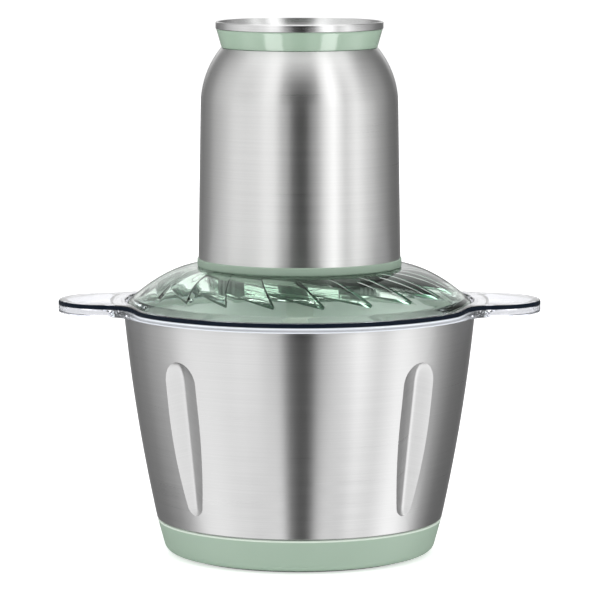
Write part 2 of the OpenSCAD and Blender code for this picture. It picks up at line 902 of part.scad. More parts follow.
module lower_frame() {
    air_holes = 6;
    air_hole_r = 7;
    air_circle_r = 26;
    color(iron)
        difference() {
            union() {
                translate([0, 0, frame_z])
                    cylinder(r = frame_r, h = frame_t);
                translate([0, 0, lower_bearing_z - 1])
                    cylinder(r = frame_boss_r, h = bearing_h + 1);
                for (side = [-1, 1])
                    post(bolt_r + 2, side * bolt_circle_r, 0, frame_z, stack_z);
            }
            translate([0, 0, lower_bearing_z])
                cylinder(r = bearing_r, h = bearing_h + 1);
            translate([0, 0, lower_bearing_z - 2])
                cylinder(r = shaft_r + 1, h = 4);
            for (side = [-1, 1])
                post(bolt_r + 0.2, side * bolt_circle_r, 0, frame_z - 1, stack_z + 1);
            for (k = [0:air_holes - 1])
                rotate([0, 0, 30 + 360 * k / air_holes])
                    post(air_hole_r, air_circle_r, 0, frame_z - 1, frame_z + frame_t + 1);
            for (turn = [45:90:315])
                rotate([0, 0, turn])
                    post(screw_r + 0.2, post_circle_r, 0, frame_z - 1, frame_z + frame_t + 1);
        }
}

module bearing(low_z) {
    color(steel)
        rotate_extrude()
            polygon([
                [shaft_r + running_fit, low_z],
                [bearing_r, low_z],
                [bearing_r, low_z + bearing_h],
                [shaft_r + running_fit, low_z + bearing_h]
            ]);
}

module lower_bearing() {
    bearing(lower_bearing_z);
}

module upper_bearing() {
    bearing(upper_bearing_z);
}

module upper_frame() {
    leg_t = 8;
    color(iron)
        difference() {
            union() {
                translate([-bolt_circle_r - leg_t / 2, -bridge_w / 2, bridge_z])
                    cube([2 * bolt_circle_r + leg_t, bridge_w, bridge_t]);
                for (side = [-1, 1])
                    translate([side * bolt_circle_r - leg_t / 2, -bridge_w / 2, stack_top_z])
                        cube([leg_t, bridge_w, bridge_z - stack_top_z + 1]);
                translate([0, 0, bridge_z])
                    cylinder(r = frame_boss_r, h = bridge_t + bearing_h);
            }
            translate([0, 0, upper_bearing_z])
                cylinder(r = bearing_r, h = bearing_h + 1);
            translate([0, 0, bridge_z - 1])
                cylinder(r = shaft_r + 1, h = bridge_t + 2);
            for (side = [-1, 1])
                post(bolt_r + 0.2, side * bolt_circle_r, 0, stack_top_z - 1, bridge_z + bridge_t + 1);
        }
}

module field_stack() {
    color(iron)
        difference() {
            tube(stator_r, armature_r + 0.7, stack_z, stack_top_z);
            for (x = [-1, 1], y = [-1, 1])
                translate([
                    x > 0 ? coil_in_x - loose_fit : -coil_out_x - loose_fit,
                    y > 0 ? coil_in_y - loose_fit : -coil_out_y - loose_fit,
                    stack_z - 1
                ])
                    cube([
                        coil_out_x - coil_in_x + 2 * loose_fit,
                        coil_out_y - coil_in_y + 2 * loose_fit,
                        stack_h + 2
                    ]);
            for (side = [-1, 1])
                post(bolt_r + 0.2, side * bolt_circle_r, 0, stack_z - 1, stack_top_z + 1);
        }
}

module field_coils() {
    color(copper)
        for (y = [coil_in_y, -coil_out_y])
            difference() {
                translate([-coil_out_x, y, stack_z - coil_over])
                    cube([2 * coil_out_x, coil_out_y - coil_in_y, stack_h + 2 * coil_over]);
                translate([-coil_in_x, y - 1, stack_z])
                    cube([2 * coil_in_x, coil_out_y - coil_in_y + 2, stack_h]);
            }
}

module frame_screws() {
    color(steel)
        for (turn = [45:90:315])
            rotate([0, 0, turn]) {
                post(screw_r, post_circle_r, 0, base_top_z + 1.5, frame_z + frame_t);
                post(2 * screw_r, post_circle_r, 0, frame_z + frame_t, frame_z + frame_t + 2);
            }
}

module through_bolts() {
    head_h = 2.4;
    color(steel)
        for (side = [-1, 1]) {
            post(bolt_r, side * bolt_circle_r, 0, frame_z - head_h, bridge_z + bridge_t + head_h + 0.4);
            translate([side * bolt_circle_r, 0, frame_z - head_h])
                cylinder(r = 1.9 * bolt_r, h = head_h, $fn = 6);
            translate([side * bolt_circle_r, 0, bridge_z + bridge_t])
                cylinder(r = 1.9 * bolt_r, h = head_h, $fn = 6);
        }
}

module brush_box(grow, from_r, to_r) {
    for (side = [0, 180])
        rotate([0, 0, side])
            translate([from_r, -brush_w / 2 - grow, brush_z - grow])
                cube([to_r - from_r, brush_w + 2 * grow, brush_h + 2 * grow]);
}

module brush_holders() {
    leg_t = 8;
    play = 0.1;
    color(phenolic)
        difference() {
            brush_box(holder_wall, commutator_r + 2, bolt_circle_r - leg_t / 2);
            brush_box(play, commutator_r + 1, bolt_circle_r - leg_t / 2 - 2);
        }
}

module carbon_brushes() {
    color("#2c2c2e")
        brush_box(0, commutator_r + 0.1, brush_out_r);
}

module switch_plate() {
    rib_t = button_gap - 0.8;
    rib_l = 60;
    screw_hole_r = 1.2;
    color(nylon)
        difference() {
            union() {
                translate([0, 0, switch_plate_z])
                    cylinder(r = spigot_r, h = switch_plate_t);
                translate([-rib_l / 2, -rib_t / 2, spigot_low_z - 1])
                    cube([rib_l, rib_t, button_low_z - spigot_low_z]);
            }
            for (y = [-switch_y, switch_y])
                post(plunger_r + 0.5, 0, y, switch_plate_z - 1, spigot_low_z + 1);
            for (turn = [30:120:270])
                rotate([0, 0, turn])
                    post(screw_hole_r, spigot_r - spigot_t / 2, 0, switch_plate_z - 1, spigot_low_z + 1);
        }
}

module plate_screws() {
    thread_r = 1;
    head_r = 2;
    head_h = 1.4;
    color(steel)
        for (turn = [30:120:270])
            rotate([0, 0, turn]) {
                post(thread_r, spigot_r - spigot_t / 2, 0, switch_plate_z, spigot_low_z);
                post(head_r, spigot_r - spigot_t / 2, 0, switch_plate_z - head_h, switch_plate_z);
            }
}

module micro_switch(y) {
    color(phenolic)
        difference() {
            translate([-switch_size[0] / 2, y - switch_size[1] / 2, switch_plate_z - switch_size[2]])
                cube(switch_size);
            post(plunger_r + 0.1, 0, y, switch_plate_z - plunger_depth - button_travel - 0.5, switch_plate_z + 1);
        }
}

module low_speed_switch() {
    micro_switch(-switch_y);
}

module high_speed_switch() {
    micro_switch(switch_y);
}

module plunger(y) {
    color("#c8553d")
        post(plunger_r, 0, y, switch_plate_z - plunger_depth, stem_low_z);
}

module low_speed_plunger() {
    plunger(-switch_y);
}

module high_speed_plunger() {
    plunger(switch_y);
}

// A half-moon button on the side of +Y, with its flange and stem
module half_button() {
    flange_low_z = button_low_z;
    flange_top_z = flange_low_z + button_flange_h;
    round_w = 1.5;
    color(green)
        union() {
            intersection() {
                rotate_extrude()
                    polygon([
                        [0, flange_low_z],
                        [button_flange_r, flange_low_z],
                        [button_flange_r, flange_top_z],
                        [button_r, flange_top_z],
                        [button_r, button_top_z - round_w],
                        [button_r - round_w, button_top_z],
                        [0, button_top_z]
                    ]);
                translate([-button_flange_r - 1, button_gap / 2, flange_low_z - 1])
                    cube([2 * button_flange_r + 2, button_flange_r, button_top_z - flange_low_z + 2]);
            }
            post(stem_r, 0, switch_y, stem_low_z, flange_low_z + 1);
        }
}

module high_speed_button() {
    half_button();
}

module low_speed_button() {
    rotate([0, 0, 180])
        half_button();
}

// Centre of a ring of the spring's wire, and the ring's own points
function coil_point(t, low_z, high_z, y) =
    let (a = 360 * spring_turns * t)
        [spring_r * cos(a), y + spring_r * sin(a), low_z + (high_z - low_z) * t];

module coil_spring(y) {
    low_z = spigot_low_z + spring_wire_r;
    high_z = button_low_z - spring_wire_r;
    rings = spring_turns * spring_steps;
    sides = spring_sides;
    points = [
        for (i = [0:rings], j = [0:sides - 1])
            let (c = coil_point(i / rings, low_z, high_z, y))
            let (a = 360 * spring_turns * i / rings, b = 360 * j / sides)
                [
                    c[0] + spring_wire_r * cos(b) * cos(a),
                    c[1] + spring_wire_r * cos(b) * sin(a),
                    c[2] + spring_wire_r * sin(b)
                ]
    ];
    walls = [
        for (i = [0:rings - 1], j = [0:sides - 1])
            [
                i * sides + j,
                (i + 1) * sides + j,
                (i + 1) * sides + (j + 1) % sides,
                i * sides + (j + 1) % sides
            ]
    ];
    ends = [
        [for (j = [0:sides - 1]) j],
        [for (j = [sides - 1:-1:0]) rings * sides + j]
    ];
    color(steel)
        polyhedron(points = points, faces = concat(walls, ends), convexity = 4);
}

module low_speed_spring() {
    coil_spring(-switch_y);
}

module high_speed_spring() {
    coil_spring(switch_y);
}

module motor_shaft() {
    color(steel)
        translate([0, 0, shaft_low_z])
            cylinder(r = shaft_r, h = upper_bearing_z + bearing_h - shaft_low_z);
}

module armature_core() {
    slot_r = 2;
    color(iron)
        difference() {
            tube(armature_r, shaft_r, stack_z, stack_top_z);
            for (k = [0:armature_slots - 1])
                rotate([0, 0, 360 * k / armature_slots])
                    post(slot_r, armature_r - 0.6 * slot_r, 0, stack_z - 1, stack_top_z + 1);
        }
}

module armature_winding() {
    edge = 2.5;
    color(copper)
        for (low_z = [stack_z - winding_h, stack_top_z])
            rotate_extrude()
                polygon([
                    [shaft_r, low_z],
                    [winding_r - edge, low_z],
                    [winding_r, low_z + edge],
                    [winding_r, low_z + winding_h - edge],
                    [winding_r - edge, low_z + winding_h],
                    [shaft_r, low_z + winding_h]
                ]);
}

module commutator() {
    slit = 0.4;
    slit_depth = 0.8;
    color("#b5824a")
        difference() {
            tube(commutator_r, shaft_r, commutator_z, commutator_z + commutator_h);
            for (k = [0:commutator_bars - 1])
                rotate([0, 0, 360 * k / commutator_bars])
                    translate([commutator_r - slit_depth, -slit / 2, commutator_z - 1])
                        cube([2, slit, commutator_h + 2]);
        }
}

module cooling_fan() {
    blade_t = 1.2;
    disc_t = 1.4;
    fan_hub_r = 9;
    color(nylon)
        difference() {
            union() {
                translate([0, 0, fan_z])
                    cylinder(r = fan_r, h = disc_t);
                translate([0, 0, fan_z])
                    cylinder(r = fan_hub_r, h = fan_h);
                for (k = [0:fan_blades - 1])
                    rotate([0, 0, 360 * k / fan_blades])
                        translate([fan_hub_r - 1, -blade_t / 2, fan_z])
                            cube([fan_r - fan_hub_r, blade_t, fan_h]);
            }
            translate([0, 0, fan_z - 1])
                cylinder(r = shaft_r, h = fan_h + 2);
        }
}

module drive_coupling() {
    color(dark_green)
        difference() {
            translate([0, 0, coupling_low_z])
                cylinder(r = coupling_r, h = coupling_top_z - coupling_low_z);
            translate([0, 0, coupling_low_z - 1])
                cylinder(r = tenon_r + loose_fit, h = tenon_h + 1, $fn = 6);
            translate([0, 0, shaft_low_z])
                cylinder(r = shaft_r, h = coupling_top_z - shaft_low_z + 1);
        }
}

bowl();
bowl_pin();
pin_washer();
base_cover();
foot_ring();
handle_ring();
thrust_washer();
blade_hub();
pin_bush();
lower_blades();
blade_sleeve();
upper_blades();
blade_nut();
lid();
lid_seal();
base_ring();
motor_shell();
neck_collar();
top_cup();
cord_gland();
lower_frame();
upper_frame();
field_stack();
field_coils();
lower_bearing();
upper_bearing();
frame_screws();
through_bolts();
brush_holders();
carbon_brushes();
switch_plate();
plate_screws();
low_speed_switch();
high_speed_switch();
motor_shaft();
armature_core();
armature_winding();
commutator();
cooling_fan();
drive_coupling();
low_speed_button();
high_speed_button();
low_speed_spring();
high_speed_spring();
low_speed_plunger();
high_speed_plunger();
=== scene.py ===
# %% [markdown]
# An electric food chopper, dressed in Blender.
# A steel motor head stands on a clear green lid, over a brushed steel bowl with two clear ears.
# The packed CAD model gives every size and place. This lesson gives each visible shell its real
# curve and edge, and every surface its finish.

# %% The frame and the units
import json
import math

import bpy
from mathutils import Matrix, Vector

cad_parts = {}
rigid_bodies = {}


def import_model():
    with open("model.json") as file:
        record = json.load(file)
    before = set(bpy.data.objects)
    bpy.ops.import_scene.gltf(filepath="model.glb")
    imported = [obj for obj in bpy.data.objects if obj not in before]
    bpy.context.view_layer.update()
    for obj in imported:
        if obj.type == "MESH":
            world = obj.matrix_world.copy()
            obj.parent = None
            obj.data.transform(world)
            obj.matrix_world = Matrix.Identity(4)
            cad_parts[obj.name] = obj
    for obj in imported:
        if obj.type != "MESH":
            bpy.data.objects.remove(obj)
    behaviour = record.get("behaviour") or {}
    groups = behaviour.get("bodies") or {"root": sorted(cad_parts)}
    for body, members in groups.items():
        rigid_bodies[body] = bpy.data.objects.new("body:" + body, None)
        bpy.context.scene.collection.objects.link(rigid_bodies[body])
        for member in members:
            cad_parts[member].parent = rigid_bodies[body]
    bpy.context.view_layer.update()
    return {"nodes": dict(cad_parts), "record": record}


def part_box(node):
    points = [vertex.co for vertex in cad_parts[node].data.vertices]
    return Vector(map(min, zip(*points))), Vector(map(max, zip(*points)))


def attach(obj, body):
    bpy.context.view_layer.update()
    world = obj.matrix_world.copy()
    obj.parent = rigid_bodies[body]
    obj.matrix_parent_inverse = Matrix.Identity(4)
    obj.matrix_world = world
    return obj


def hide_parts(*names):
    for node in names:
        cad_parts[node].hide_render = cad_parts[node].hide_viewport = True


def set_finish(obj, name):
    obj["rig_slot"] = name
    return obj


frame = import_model()
MM = 0.001
print("nodes in the frame:", len(frame["nodes"]))

# %% [markdown]
# Sizes are read from the frame in millimetres, because a kitchen appliance is thought of in them.
# A turned piece is described by its half section, so the three readings that matter most
# are a node's top, its bottom and how far it reaches from the axis.

# %% Sizes from the frame
def top(node):
    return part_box(node)[1].z / MM


def low(node):
    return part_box(node)[0].z / MM


def reach(node):
    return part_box(node)[1].x / MM


RIM_Z = top("bowl")
COVER_Z = top("base_cover")
FOOT_R = reach("base_cover")
RIM_R = reach("bowl") - 1.3
print("bowl wall, foot and rim radius:", round(FOOT_R, 2), round(RIM_R, 2))

# %% [markdown]
# The camera stands where the photographer stood: about two metres away, a little above the head,
# with a long lens, so the bowl's rim and foot show as narrow ellipses.

# %% Camera
LENS = 231.24
SHIFT = 0.00083
STAND = (0, -2.2, 0.4068)
LOOK_DOWN = math.radians(6.77)


def make_camera():
    data = bpy.data.cameras.new("camera")
    data.lens = LENS
    data.sensor_width = 36
    data.shift_x = SHIFT
    data.clip_start = 0.05
    camera = bpy.data.objects.new("camera", data)
    camera.location = STAND
    camera.rotation_euler = (math.pi / 2 - LOOK_DOWN, 0, 0)
    bpy.context.scene.collection.objects.link(camera)
    bpy.context.scene.camera = camera
    return camera


camera = make_camera()
print("camera lens:", camera.data.lens)

# %% [markdown]
# Operators act on whatever is selected, and loading the frame leaves its nodes selected.
# Each step below therefore starts by clearing the selection, and one helper opens edit mode
# on a single piece, which keeps the steps short.

# %% Selection helpers
def clear():
    if bpy.context.object and bpy.context.object.mode != "OBJECT":
        bpy.ops.object.mode_set(mode="OBJECT")
    bpy.ops.object.select_all(action="DESELECT")


def choose(piece):
    clear()
    piece.select_set(True)
    bpy.context.view_layer.objects.active = piece


def smooth(piece, degrees=32):
    choose(piece)
    bpy.ops.object.shade_smooth_by_angle(angle=math.radians(degrees))


def outward(piece, gap=1e-7):
    """Doubles are merged first, then the faces are turned to point out."""
    choose(piece)
    bpy.ops.object.mode_set(mode="EDIT")
    bpy.ops.mesh.select_all(action="SELECT")
    bpy.ops.mesh.remove_doubles(threshold=gap)
    bpy.ops.mesh.normals_make_consistent(inside=False)
    bpy.ops.object.mode_set(mode="OBJECT")


clear()
print("selected:", len(bpy.context.selected_objects))

# %% [markdown]
# Nearly every shell here is spun or moulded round one axis. Its half section is drawn as a list of
# corners, each with the radius of its fillet, and a small helper turns those corners into arcs.
# Moulded plastic and pressed steel never have a truly sharp edge, and it is the rounded edge
# that catches the light.

# %% Outlines with rounded corners
def rounded(corners, steps=5):
    """Points of a closed outline from (radius, height, fillet) corners."""
    outline = []
    for i, (x, y, fillet) in enumerate(corners):
        here = Vector((x, y))
        if fillet == 0:
            outline.append((x, y))
            continue
        back = (Vector(corners[i - 1][:2]) - here).normalized()
        on = (Vector(corners[(i + 1) % len(corners)][:2]) - here).normalized()
        half = back.angle(on) / 2
        middle = here + (back + on).normalized() * (fillet / math.sin(half))
        start = here + back * (fillet / math.tan(half)) - middle
        end = here + on * (fillet / math.tan(half)) - middle
        first = math.atan2(start.y, start.x)
        turn = math.atan2(start.x * end.y - start.y * end.x, start.dot(end))
        for k in range(steps + 1):
            a = first + turn * k / steps
            outline.append((middle.x + fillet * math.cos(a), middle.y + fillet * math.sin(a)))
    return outline


def span(first, last, steps):
    """Even steps from first to last, both ends included."""
    return [first + (last - first) * i / steps for i in range(steps + 1)]


print("points in a rounded square:", len(rounded([(0, 0, 1), (9, 0, 1), (9, 9, 1), (0, 9, 1)])))

# %% [markdown]
# The turned shells could be screwed from a curve, but a circle primitive whose corners are moved
# to the outline, spun once round in edit mode, gives clean quads with columns that can be
# moved later, which the bowl's flutes and the ring's ears need.

# %% Turning a shell
COLUMNS = 160


def turned(name, outline, columns=COLUMNS):
    """A piece spun from a closed outline, which may start and end on the axis."""
    clear()
    bpy.ops.mesh.primitive_circle_add(vertices=len(outline), radius=MM)
    piece = bpy.context.object
    piece.name = name
    piece.data.name = name
    for vertex, (r, z) in zip(piece.data.vertices, outline):
        vertex.co = (r * MM, 0, z * MM)
    ends = {0, len(outline) - 1}
    for vertex in piece.data.vertices:
        vertex.select = vertex.index in ends
    for edge in piece.data.edges:
        edge.select = set(edge.vertices) == ends
    bpy.ops.object.mode_set(mode="EDIT")
    if outline[0][0] == 0 and outline[-1][0] == 0:
        bpy.ops.mesh.delete(type="EDGE")
    bpy.ops.mesh.select_all(action="SELECT")
    bpy.ops.mesh.spin(steps=columns, angle=2 * math.pi, center=(0, 0, 0), axis=(0, 0, 1))
    bpy.ops.object.mode_set(mode="OBJECT")
    outward(piece)
    smooth(piece)
    return piece


def polar(vertex):
    """Radius in millimetres, angle and height in millimetres of a vertex."""
    x, y, z = vertex.co
    return math.hypot(x, y) / MM, math.atan2(y, x), z / MM


def set_polar(vertex, r, angle, z):
    vertex.co = (r * MM * math.cos(angle), r * MM * math.sin(angle), z * MM)


print("columns of a plain shell:", COLUMNS)

# %% [markdown]
# The bowl is drawn from one steel sheet: a rounded foot, a wall that widens in a faint bulge,
# and a narrow flange that the clear ring clips over. Its half section goes up the outside and
# comes down the inside one sheet's thickness away, so the bowl has a real wall.

# %% Section of the bowl
SHEET = 0.8
FLOOR_Z = low("bowl")
JOGGLE = 1.5
BULGE = 1.9
FLUTE_LOW = COVER_Z + 10.5
FLUTE_LENGTH = 88.5
FLUTE_ROWS = 52


def bowl_radius(z):
    t = (z - COVER_Z) / (RIM_Z - COVER_Z)
    return FOOT_R + (RIM_R - FOOT_R) * t + 4 * BULGE * t * (1 - t)


def flute_rows():
    """Heights along the flute, closer together near its two ends."""
    turns = [math.pi * i / FLUTE_ROWS for i in range(1, FLUTE_ROWS)]
    return [FLUTE_LOW + FLUTE_LENGTH * (1 - math.cos(a)) / 2 for a in turns]


def bowl_outline():
    foot_r = FOOT_R - JOGGLE
    corner = 12
    heights = span(COVER_Z + 0.9, FLUTE_LOW, 5) + flute_rows()
    heights += span(FLUTE_LOW + FLUTE_LENGTH, RIM_Z - 1.6, 9)
    down = [math.radians(a) for a in span(-90, 0, 10)]
    middle_r = foot_r - corner
    middle_z = FLOOR_Z + corner
    outside = [(middle_r + corner * math.cos(a), middle_z + corner * math.sin(a)) for a in down]
    outside += [(foot_r, COVER_Z + 0.1)] + [(bowl_radius(z), z) for z in heights]
    flange_r = reach("bowl")
    lip = [(RIM_R, RIM_Z - 0.8), (flange_r - 0.3, RIM_Z - 0.8), (flange_r, RIM_Z - 0.4),
           (flange_r - 0.3, RIM_Z)]
    inner = corner - SHEET
    inside = [(RIM_R - SHEET, RIM_Z)] + [(bowl_radius(z) - SHEET, z) for z in reversed(heights)]
    inside += [(foot_r - SHEET, COVER_Z + 0.1)]
    inside += [(middle_r + inner * math.cos(a), middle_z + inner * math.sin(a))
               for a in reversed(down)]
    return [(3, FLOOR_Z)] + outside + lip + inside + [(3, FLOOR_Z + SHEET)]


print("points in the bowl's section:", len(bowl_outline()))

# %% [markdown]
# Four long flutes are pressed into the wall. Each has two flat flanks that meet in a soft valley,
# and a crisp outline: rounded at the top and drawn out to a narrow tip below. The spun mesh's
# columns are moved so that one of them runs along that outline on either side, which keeps
# the crease clean, and the points between are then pressed in.

# %% Bowl with its flutes
FLUTE_HALF = 11.6
FLUTE_NARROW = 0.4
FLUTE_WIDEST = 0.67
FLUTE_LOW_TIP = 0.05
FLUTE_TOP_TIP = 0.14
FLUTE_SLOPE = 0.38
FLUTE_VALLEY = 1.6
FLUTE_COLUMNS = 14
FLUTE_SKEW = math.radians(1.5)
QUARTER = math.pi / 2


def flute_half(z):
    """Half of the flute's width at a height."""
    share = (z - FLUTE_LOW) / FLUTE_LENGTH
    if share <= 0 or share >= 1:
        return 0
    taper = 1 - (1 - min(share / FLUTE_WIDEST, 1)) ** 2
    low_tip = math.sqrt(1 - max(1 - share / FLUTE_LOW_TIP, 0) ** 2)
    top_tip = math.sqrt(1 - max((share - 1 + FLUTE_TOP_TIP) / FLUTE_TOP_TIP, 0) ** 2)
    return FLUTE_HALF * (FLUTE_NARROW + (1 - FLUTE_NARROW) * taper) * low_tip * top_tip


def press_flutes(piece, columns):
    per_side = columns // 8
    for vertex in piece.data.vertices:
        r, angle, z = polar(vertex)
        if r < FOOT_R - 4:
            continue
        quarter, place = divmod(angle, QUARTER)
        off = place - QUARTER / 2
        column = abs(off) / (QUARTER / 2) * per_side
        side = 1 if off > 0 else -1
        wall_r = bowl_radius(z)
        half = flute_half(z)
        beyond = max(FLUTE_LOW - z, z - FLUTE_LOW - FLUTE_LENGTH, 0)
        border = max(half, min(2 + 0.7 * beyond, FLUTE_HALF)) / wall_r
        skew = FLUTE_SKEW if quarter % 2 == 0 else -FLUTE_SKEW
        if column <= FLUTE_COLUMNS:
            turn = border * column / FLUTE_COLUMNS
        else:
            share = (column - FLUTE_COLUMNS) / (per_side - FLUTE_COLUMNS)
            turn = border + (QUARTER / 2 - border) * share
            skew *= 1 - share
        away = border * wall_r * min(column / FLUTE_COLUMNS, 1)
        depth = FLUTE_SLOPE * (math.hypot(half, FLUTE_VALLEY) - math.hypot(away, FLUTE_VALLEY))
        set_polar(vertex, r - max(depth, 0), (quarter + 0.5) * QUARTER + side * turn + skew, z)


BOWL_COLUMNS = 256
bowl = turned("steel_bowl", bowl_outline(), BOWL_COLUMNS)
press_flutes(bowl, BOWL_COLUMNS)
smooth(bowl, 14)
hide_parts("bowl")
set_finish(bowl, "bowl_steel")
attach(bowl, "bowl")
print("bowl faces:", len(bowl.data.polygons))

# %% [markdown]
# The green base cover is a moulded tray that the bowl is glued into. Its wall narrows to a large
# rounded corner, and its rounded top edge, where it meets the steel, carries a painted highlight.
# A rubber ring under it is the foot.

# %% Base cover and its rubber ring
def base_cover_outline():
    low_z = low("base_cover")
    hole_r = 14
    inside_r = FOOT_R - JOGGLE + 0.15
    pad_r = reach("foot_ring")
    pad_in = pad_r - 12
    return rounded([
        (hole_r, low_z, 0), (pad_in, low_z, 0.4), (pad_in, low_z + 2, 0), (pad_r, low_z + 2, 0),
        (pad_r, low_z, 0.4), (FOOT_R - 5.2, low_z, 5.5), (FOOT_R, COVER_Z, 1.1),
        (inside_r, COVER_Z, 0.3), (inside_r, FLOOR_Z, 12), (hole_r, FLOOR_Z, 0)
    ], 7)


base_cover = turned("green_base", base_cover_outline(), 192)
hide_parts("base_cover")
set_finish(base_cover, "green_plastic")
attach(base_cover, "bowl")

foot_out = reach("foot_ring") - 0.1
foot_in = foot_out - 11.8
foot_top = top("foot_ring") - 0.1
foot = turned("rubber_foot", rounded([
    (foot_in, 0, 0.6), (foot_in + 4.7, 0, 0.3), (foot_in + 5.3, 0.7, 0.3),
    (foot_out - 5.3, 0.7, 0.3), (foot_out - 4.7, 0, 0.3), (foot_out, 0, 0.6),
    (foot_out, foot_top, 0.2), (foot_in, foot_top, 0.2)
]))
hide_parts("foot_ring")
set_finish(foot, "foot_rubber")
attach(foot, "bowl")
print("base and foot:", len(base_cover.data.polygons), len(foot.data.polygons))

# %% [markdown]
# The clear ring and its two ears are one moulding. Seen from above, its outline is the ring, a
# hollow curve that swings out, and the ear's round end. Each angle off the ear's middle meets one
# of these three arcs, so the outline's distance can be worked out for any column of points.

# %% Outline of the ears
RING_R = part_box("handle_ring")[1].y / MM
EAR_REACH = reach("handle_ring")
EAR_R = 32
EAR_FILLET = 22


def ear_outline(angle, inset):
    """Distance from the axis to the outline, less an inset, at an angle off the ear's middle."""
    centre = EAR_REACH - EAR_R
    to_ring = RING_R + EAR_FILLET
    to_ear = EAR_R + EAR_FILLET
    x = (to_ring ** 2 - to_ear ** 2 + centre ** 2) / (2 * centre)
    y = math.sqrt(to_ring ** 2 - x ** 2)
    ring_angle = math.atan2(y, x)
    ear_r = EAR_R - inset
    touch_x = centre + (x - centre) * ear_r / to_ear
    touch_angle = math.atan2(y * ear_r / to_ear, touch_x)
    if angle >= ring_angle:
        return RING_R - inset
    if angle >= touch_angle:
        off = ring_angle - angle
        fillet = EAR_FILLET + inset
        across = to_ring * math.sin(off)
        return to_ring * math.cos(off) - math.sqrt(max(fillet ** 2 - across ** 2, 0))
    across = centre * math.sin(angle)
    return centre * math.cos(angle) + math.sqrt(max(ear_r ** 2 - across ** 2, 0))


print("outline at the ear and at the side:", ear_outline(0, 0), ear_outline(math.pi / 2, 0))

# %% [markdown]
# The ring's section changes on the way round. At the side it is a low rim over the bowl's flange.
# At an ear it rises a little, and under the ear the plastic is hollowed out, which leaves a thin
# plate with a deep edge. Both have the same number of points, so one turns into the other.

# %% Section of the ring
RAISED_IN_R = 100
RING_IN_R = 97.3
FLANGE_ROOM_R = reach("bowl")
RING_TOP = RIM_Z + 1.6
EAR_TOP = top("handle_ring")
EAR_LOW = low("handle_ring")
RING_RIM = RING_TOP + 2.2
RING_LOW = RIM_Z - 1.8
EAR_WALL = 4
EAR_PLATE = 2.8


def ease(t):
    t = min(max(t, 0), 1)
    return t * t * (3 - 2 * t)


def ring_section(angle):
    """The closed section of the ring at an angle off the middle of an ear."""
    def out(inset):
        return ear_outline(angle, inset)

    ear = ease((math.radians(31) - angle) / math.radians(13))
    high = RING_RIM + (EAR_TOP - RING_RIM) * ear
    under_z = RING_LOW + (EAR_LOW - RING_LOW) * ear
    pocket_r = RING_R + 4.5
    pocket_out = max(out(EAR_WALL), pocket_r)
    depth = (EAR_TOP - EAR_LOW - EAR_PLATE) * ease((pocket_out - pocket_r - 1) / 5)
    wide = out(0) - RING_R

    def at(share):
        return RING_R + wide * share

    in_r = min(pocket_r, at(0.3))
    out_r = max(min(pocket_out, at(0.85)), at(0.6)) if depth < 0.01 else pocket_out
    return [
        (RIM_R + 0.3, under_z + 0.2), (RIM_R + 0.5, under_z), (RIM_R + 1, under_z),
        (RING_R - 0.8, under_z), (RING_R - 0.4, under_z), (min(RING_R + 0.6, at(0.1)), under_z),
        (in_r - min(0.5, 0.1 * wide), under_z + 0.05),
        (in_r, under_z + 0.1 + 0.3 * depth), (in_r, under_z + 0.15 + 0.8 * depth),
        (in_r + min(1, 0.1 * wide), under_z + 0.2 + depth),
        (out_r - min(1, 0.05 * wide), under_z + 0.25 + depth),
        (out_r, under_z + 0.3 + 0.8 * depth), (out_r, under_z + 0.35 + 0.2 * depth),
        (max(out(1), at(0.9)), under_z + 0.4), (max(out(0.3), at(0.95)), under_z + 0.6),
        (out(0), under_z + 1.2), (out(0), high - 1.3), (out(0.15), high - 0.75),
        (out(0.45), high - 0.3), (out(0.9), high - 0.08), (out(1.5), high), (RING_R - 1.6, high),
        (RAISED_IN_R + 0.5, high), (RAISED_IN_R, high - 0.4),
        (RAISED_IN_R - 0.1, RING_TOP + 0.02 - 0.1 * (1 - ear)), (RAISED_IN_R - 0.6, RING_TOP),
        (RING_IN_R + 0.7, RING_TOP), (RING_IN_R + 0.1, RING_TOP - 0.4), (RING_IN_R, RIM_Z + 0.6),
        (RING_IN_R + 0.3, RIM_Z + 0.1), (RING_IN_R + 1.1, RIM_Z + 0.04),
        (FLANGE_ROOM_R, RIM_Z + 0.04), (FLANGE_ROOM_R + 0.15, RIM_Z - 0.9),
        (RIM_R + 0.3, RIM_Z - 0.95)
    ]


section_points = len(ring_section(0))
print("points in the ring's section:", section_points)

# %% [markdown]
# A ladder of rings is spun first, one for each point of the section. Every point is then moved to
# the section that belongs to its angle, so the rounded edge keeps its width all the way round the
# ear. The columns are drawn closer together at the ears, where the outline turns most.

# %% Clear ring with ears
FIRST_RING = 90
COLUMN_SHIFT = 0.24


def mould_ring(piece):
    """Moves each point of a ladder of rings, whose radius counts them, to the real section."""
    for vertex in piece.data.vertices:
        r, angle, z = polar(vertex)
        angle -= COLUMN_SHIFT * math.sin(2 * angle)
        off = abs((angle + math.pi / 2) % math.pi - math.pi / 2)
        new_r, new_z = ring_section(off)[int(round(r - FIRST_RING))]
        set_polar(vertex, new_r, angle, new_z)


ladder = [(FIRST_RING + i, i % 2) for i in range(section_points)]
clear_ring = turned("clear_ring_with_ears", ladder, 360)
mould_ring(clear_ring)
print("ring faces:", len(clear_ring.data.polygons))
outward(clear_ring)
smooth(clear_ring, 35)
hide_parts("handle_ring")
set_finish(clear_ring, "clear_plastic")
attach(clear_ring, "bowl")

# %% [markdown]
# The lid is the piece that the eye goes to. It is one clear green moulding: a smooth dome with a
# well in its middle that the head's base drops into, and a skirt that locates it in the ring. Its
# half section is drawn first, with even rows under the dome for the facets that come next.

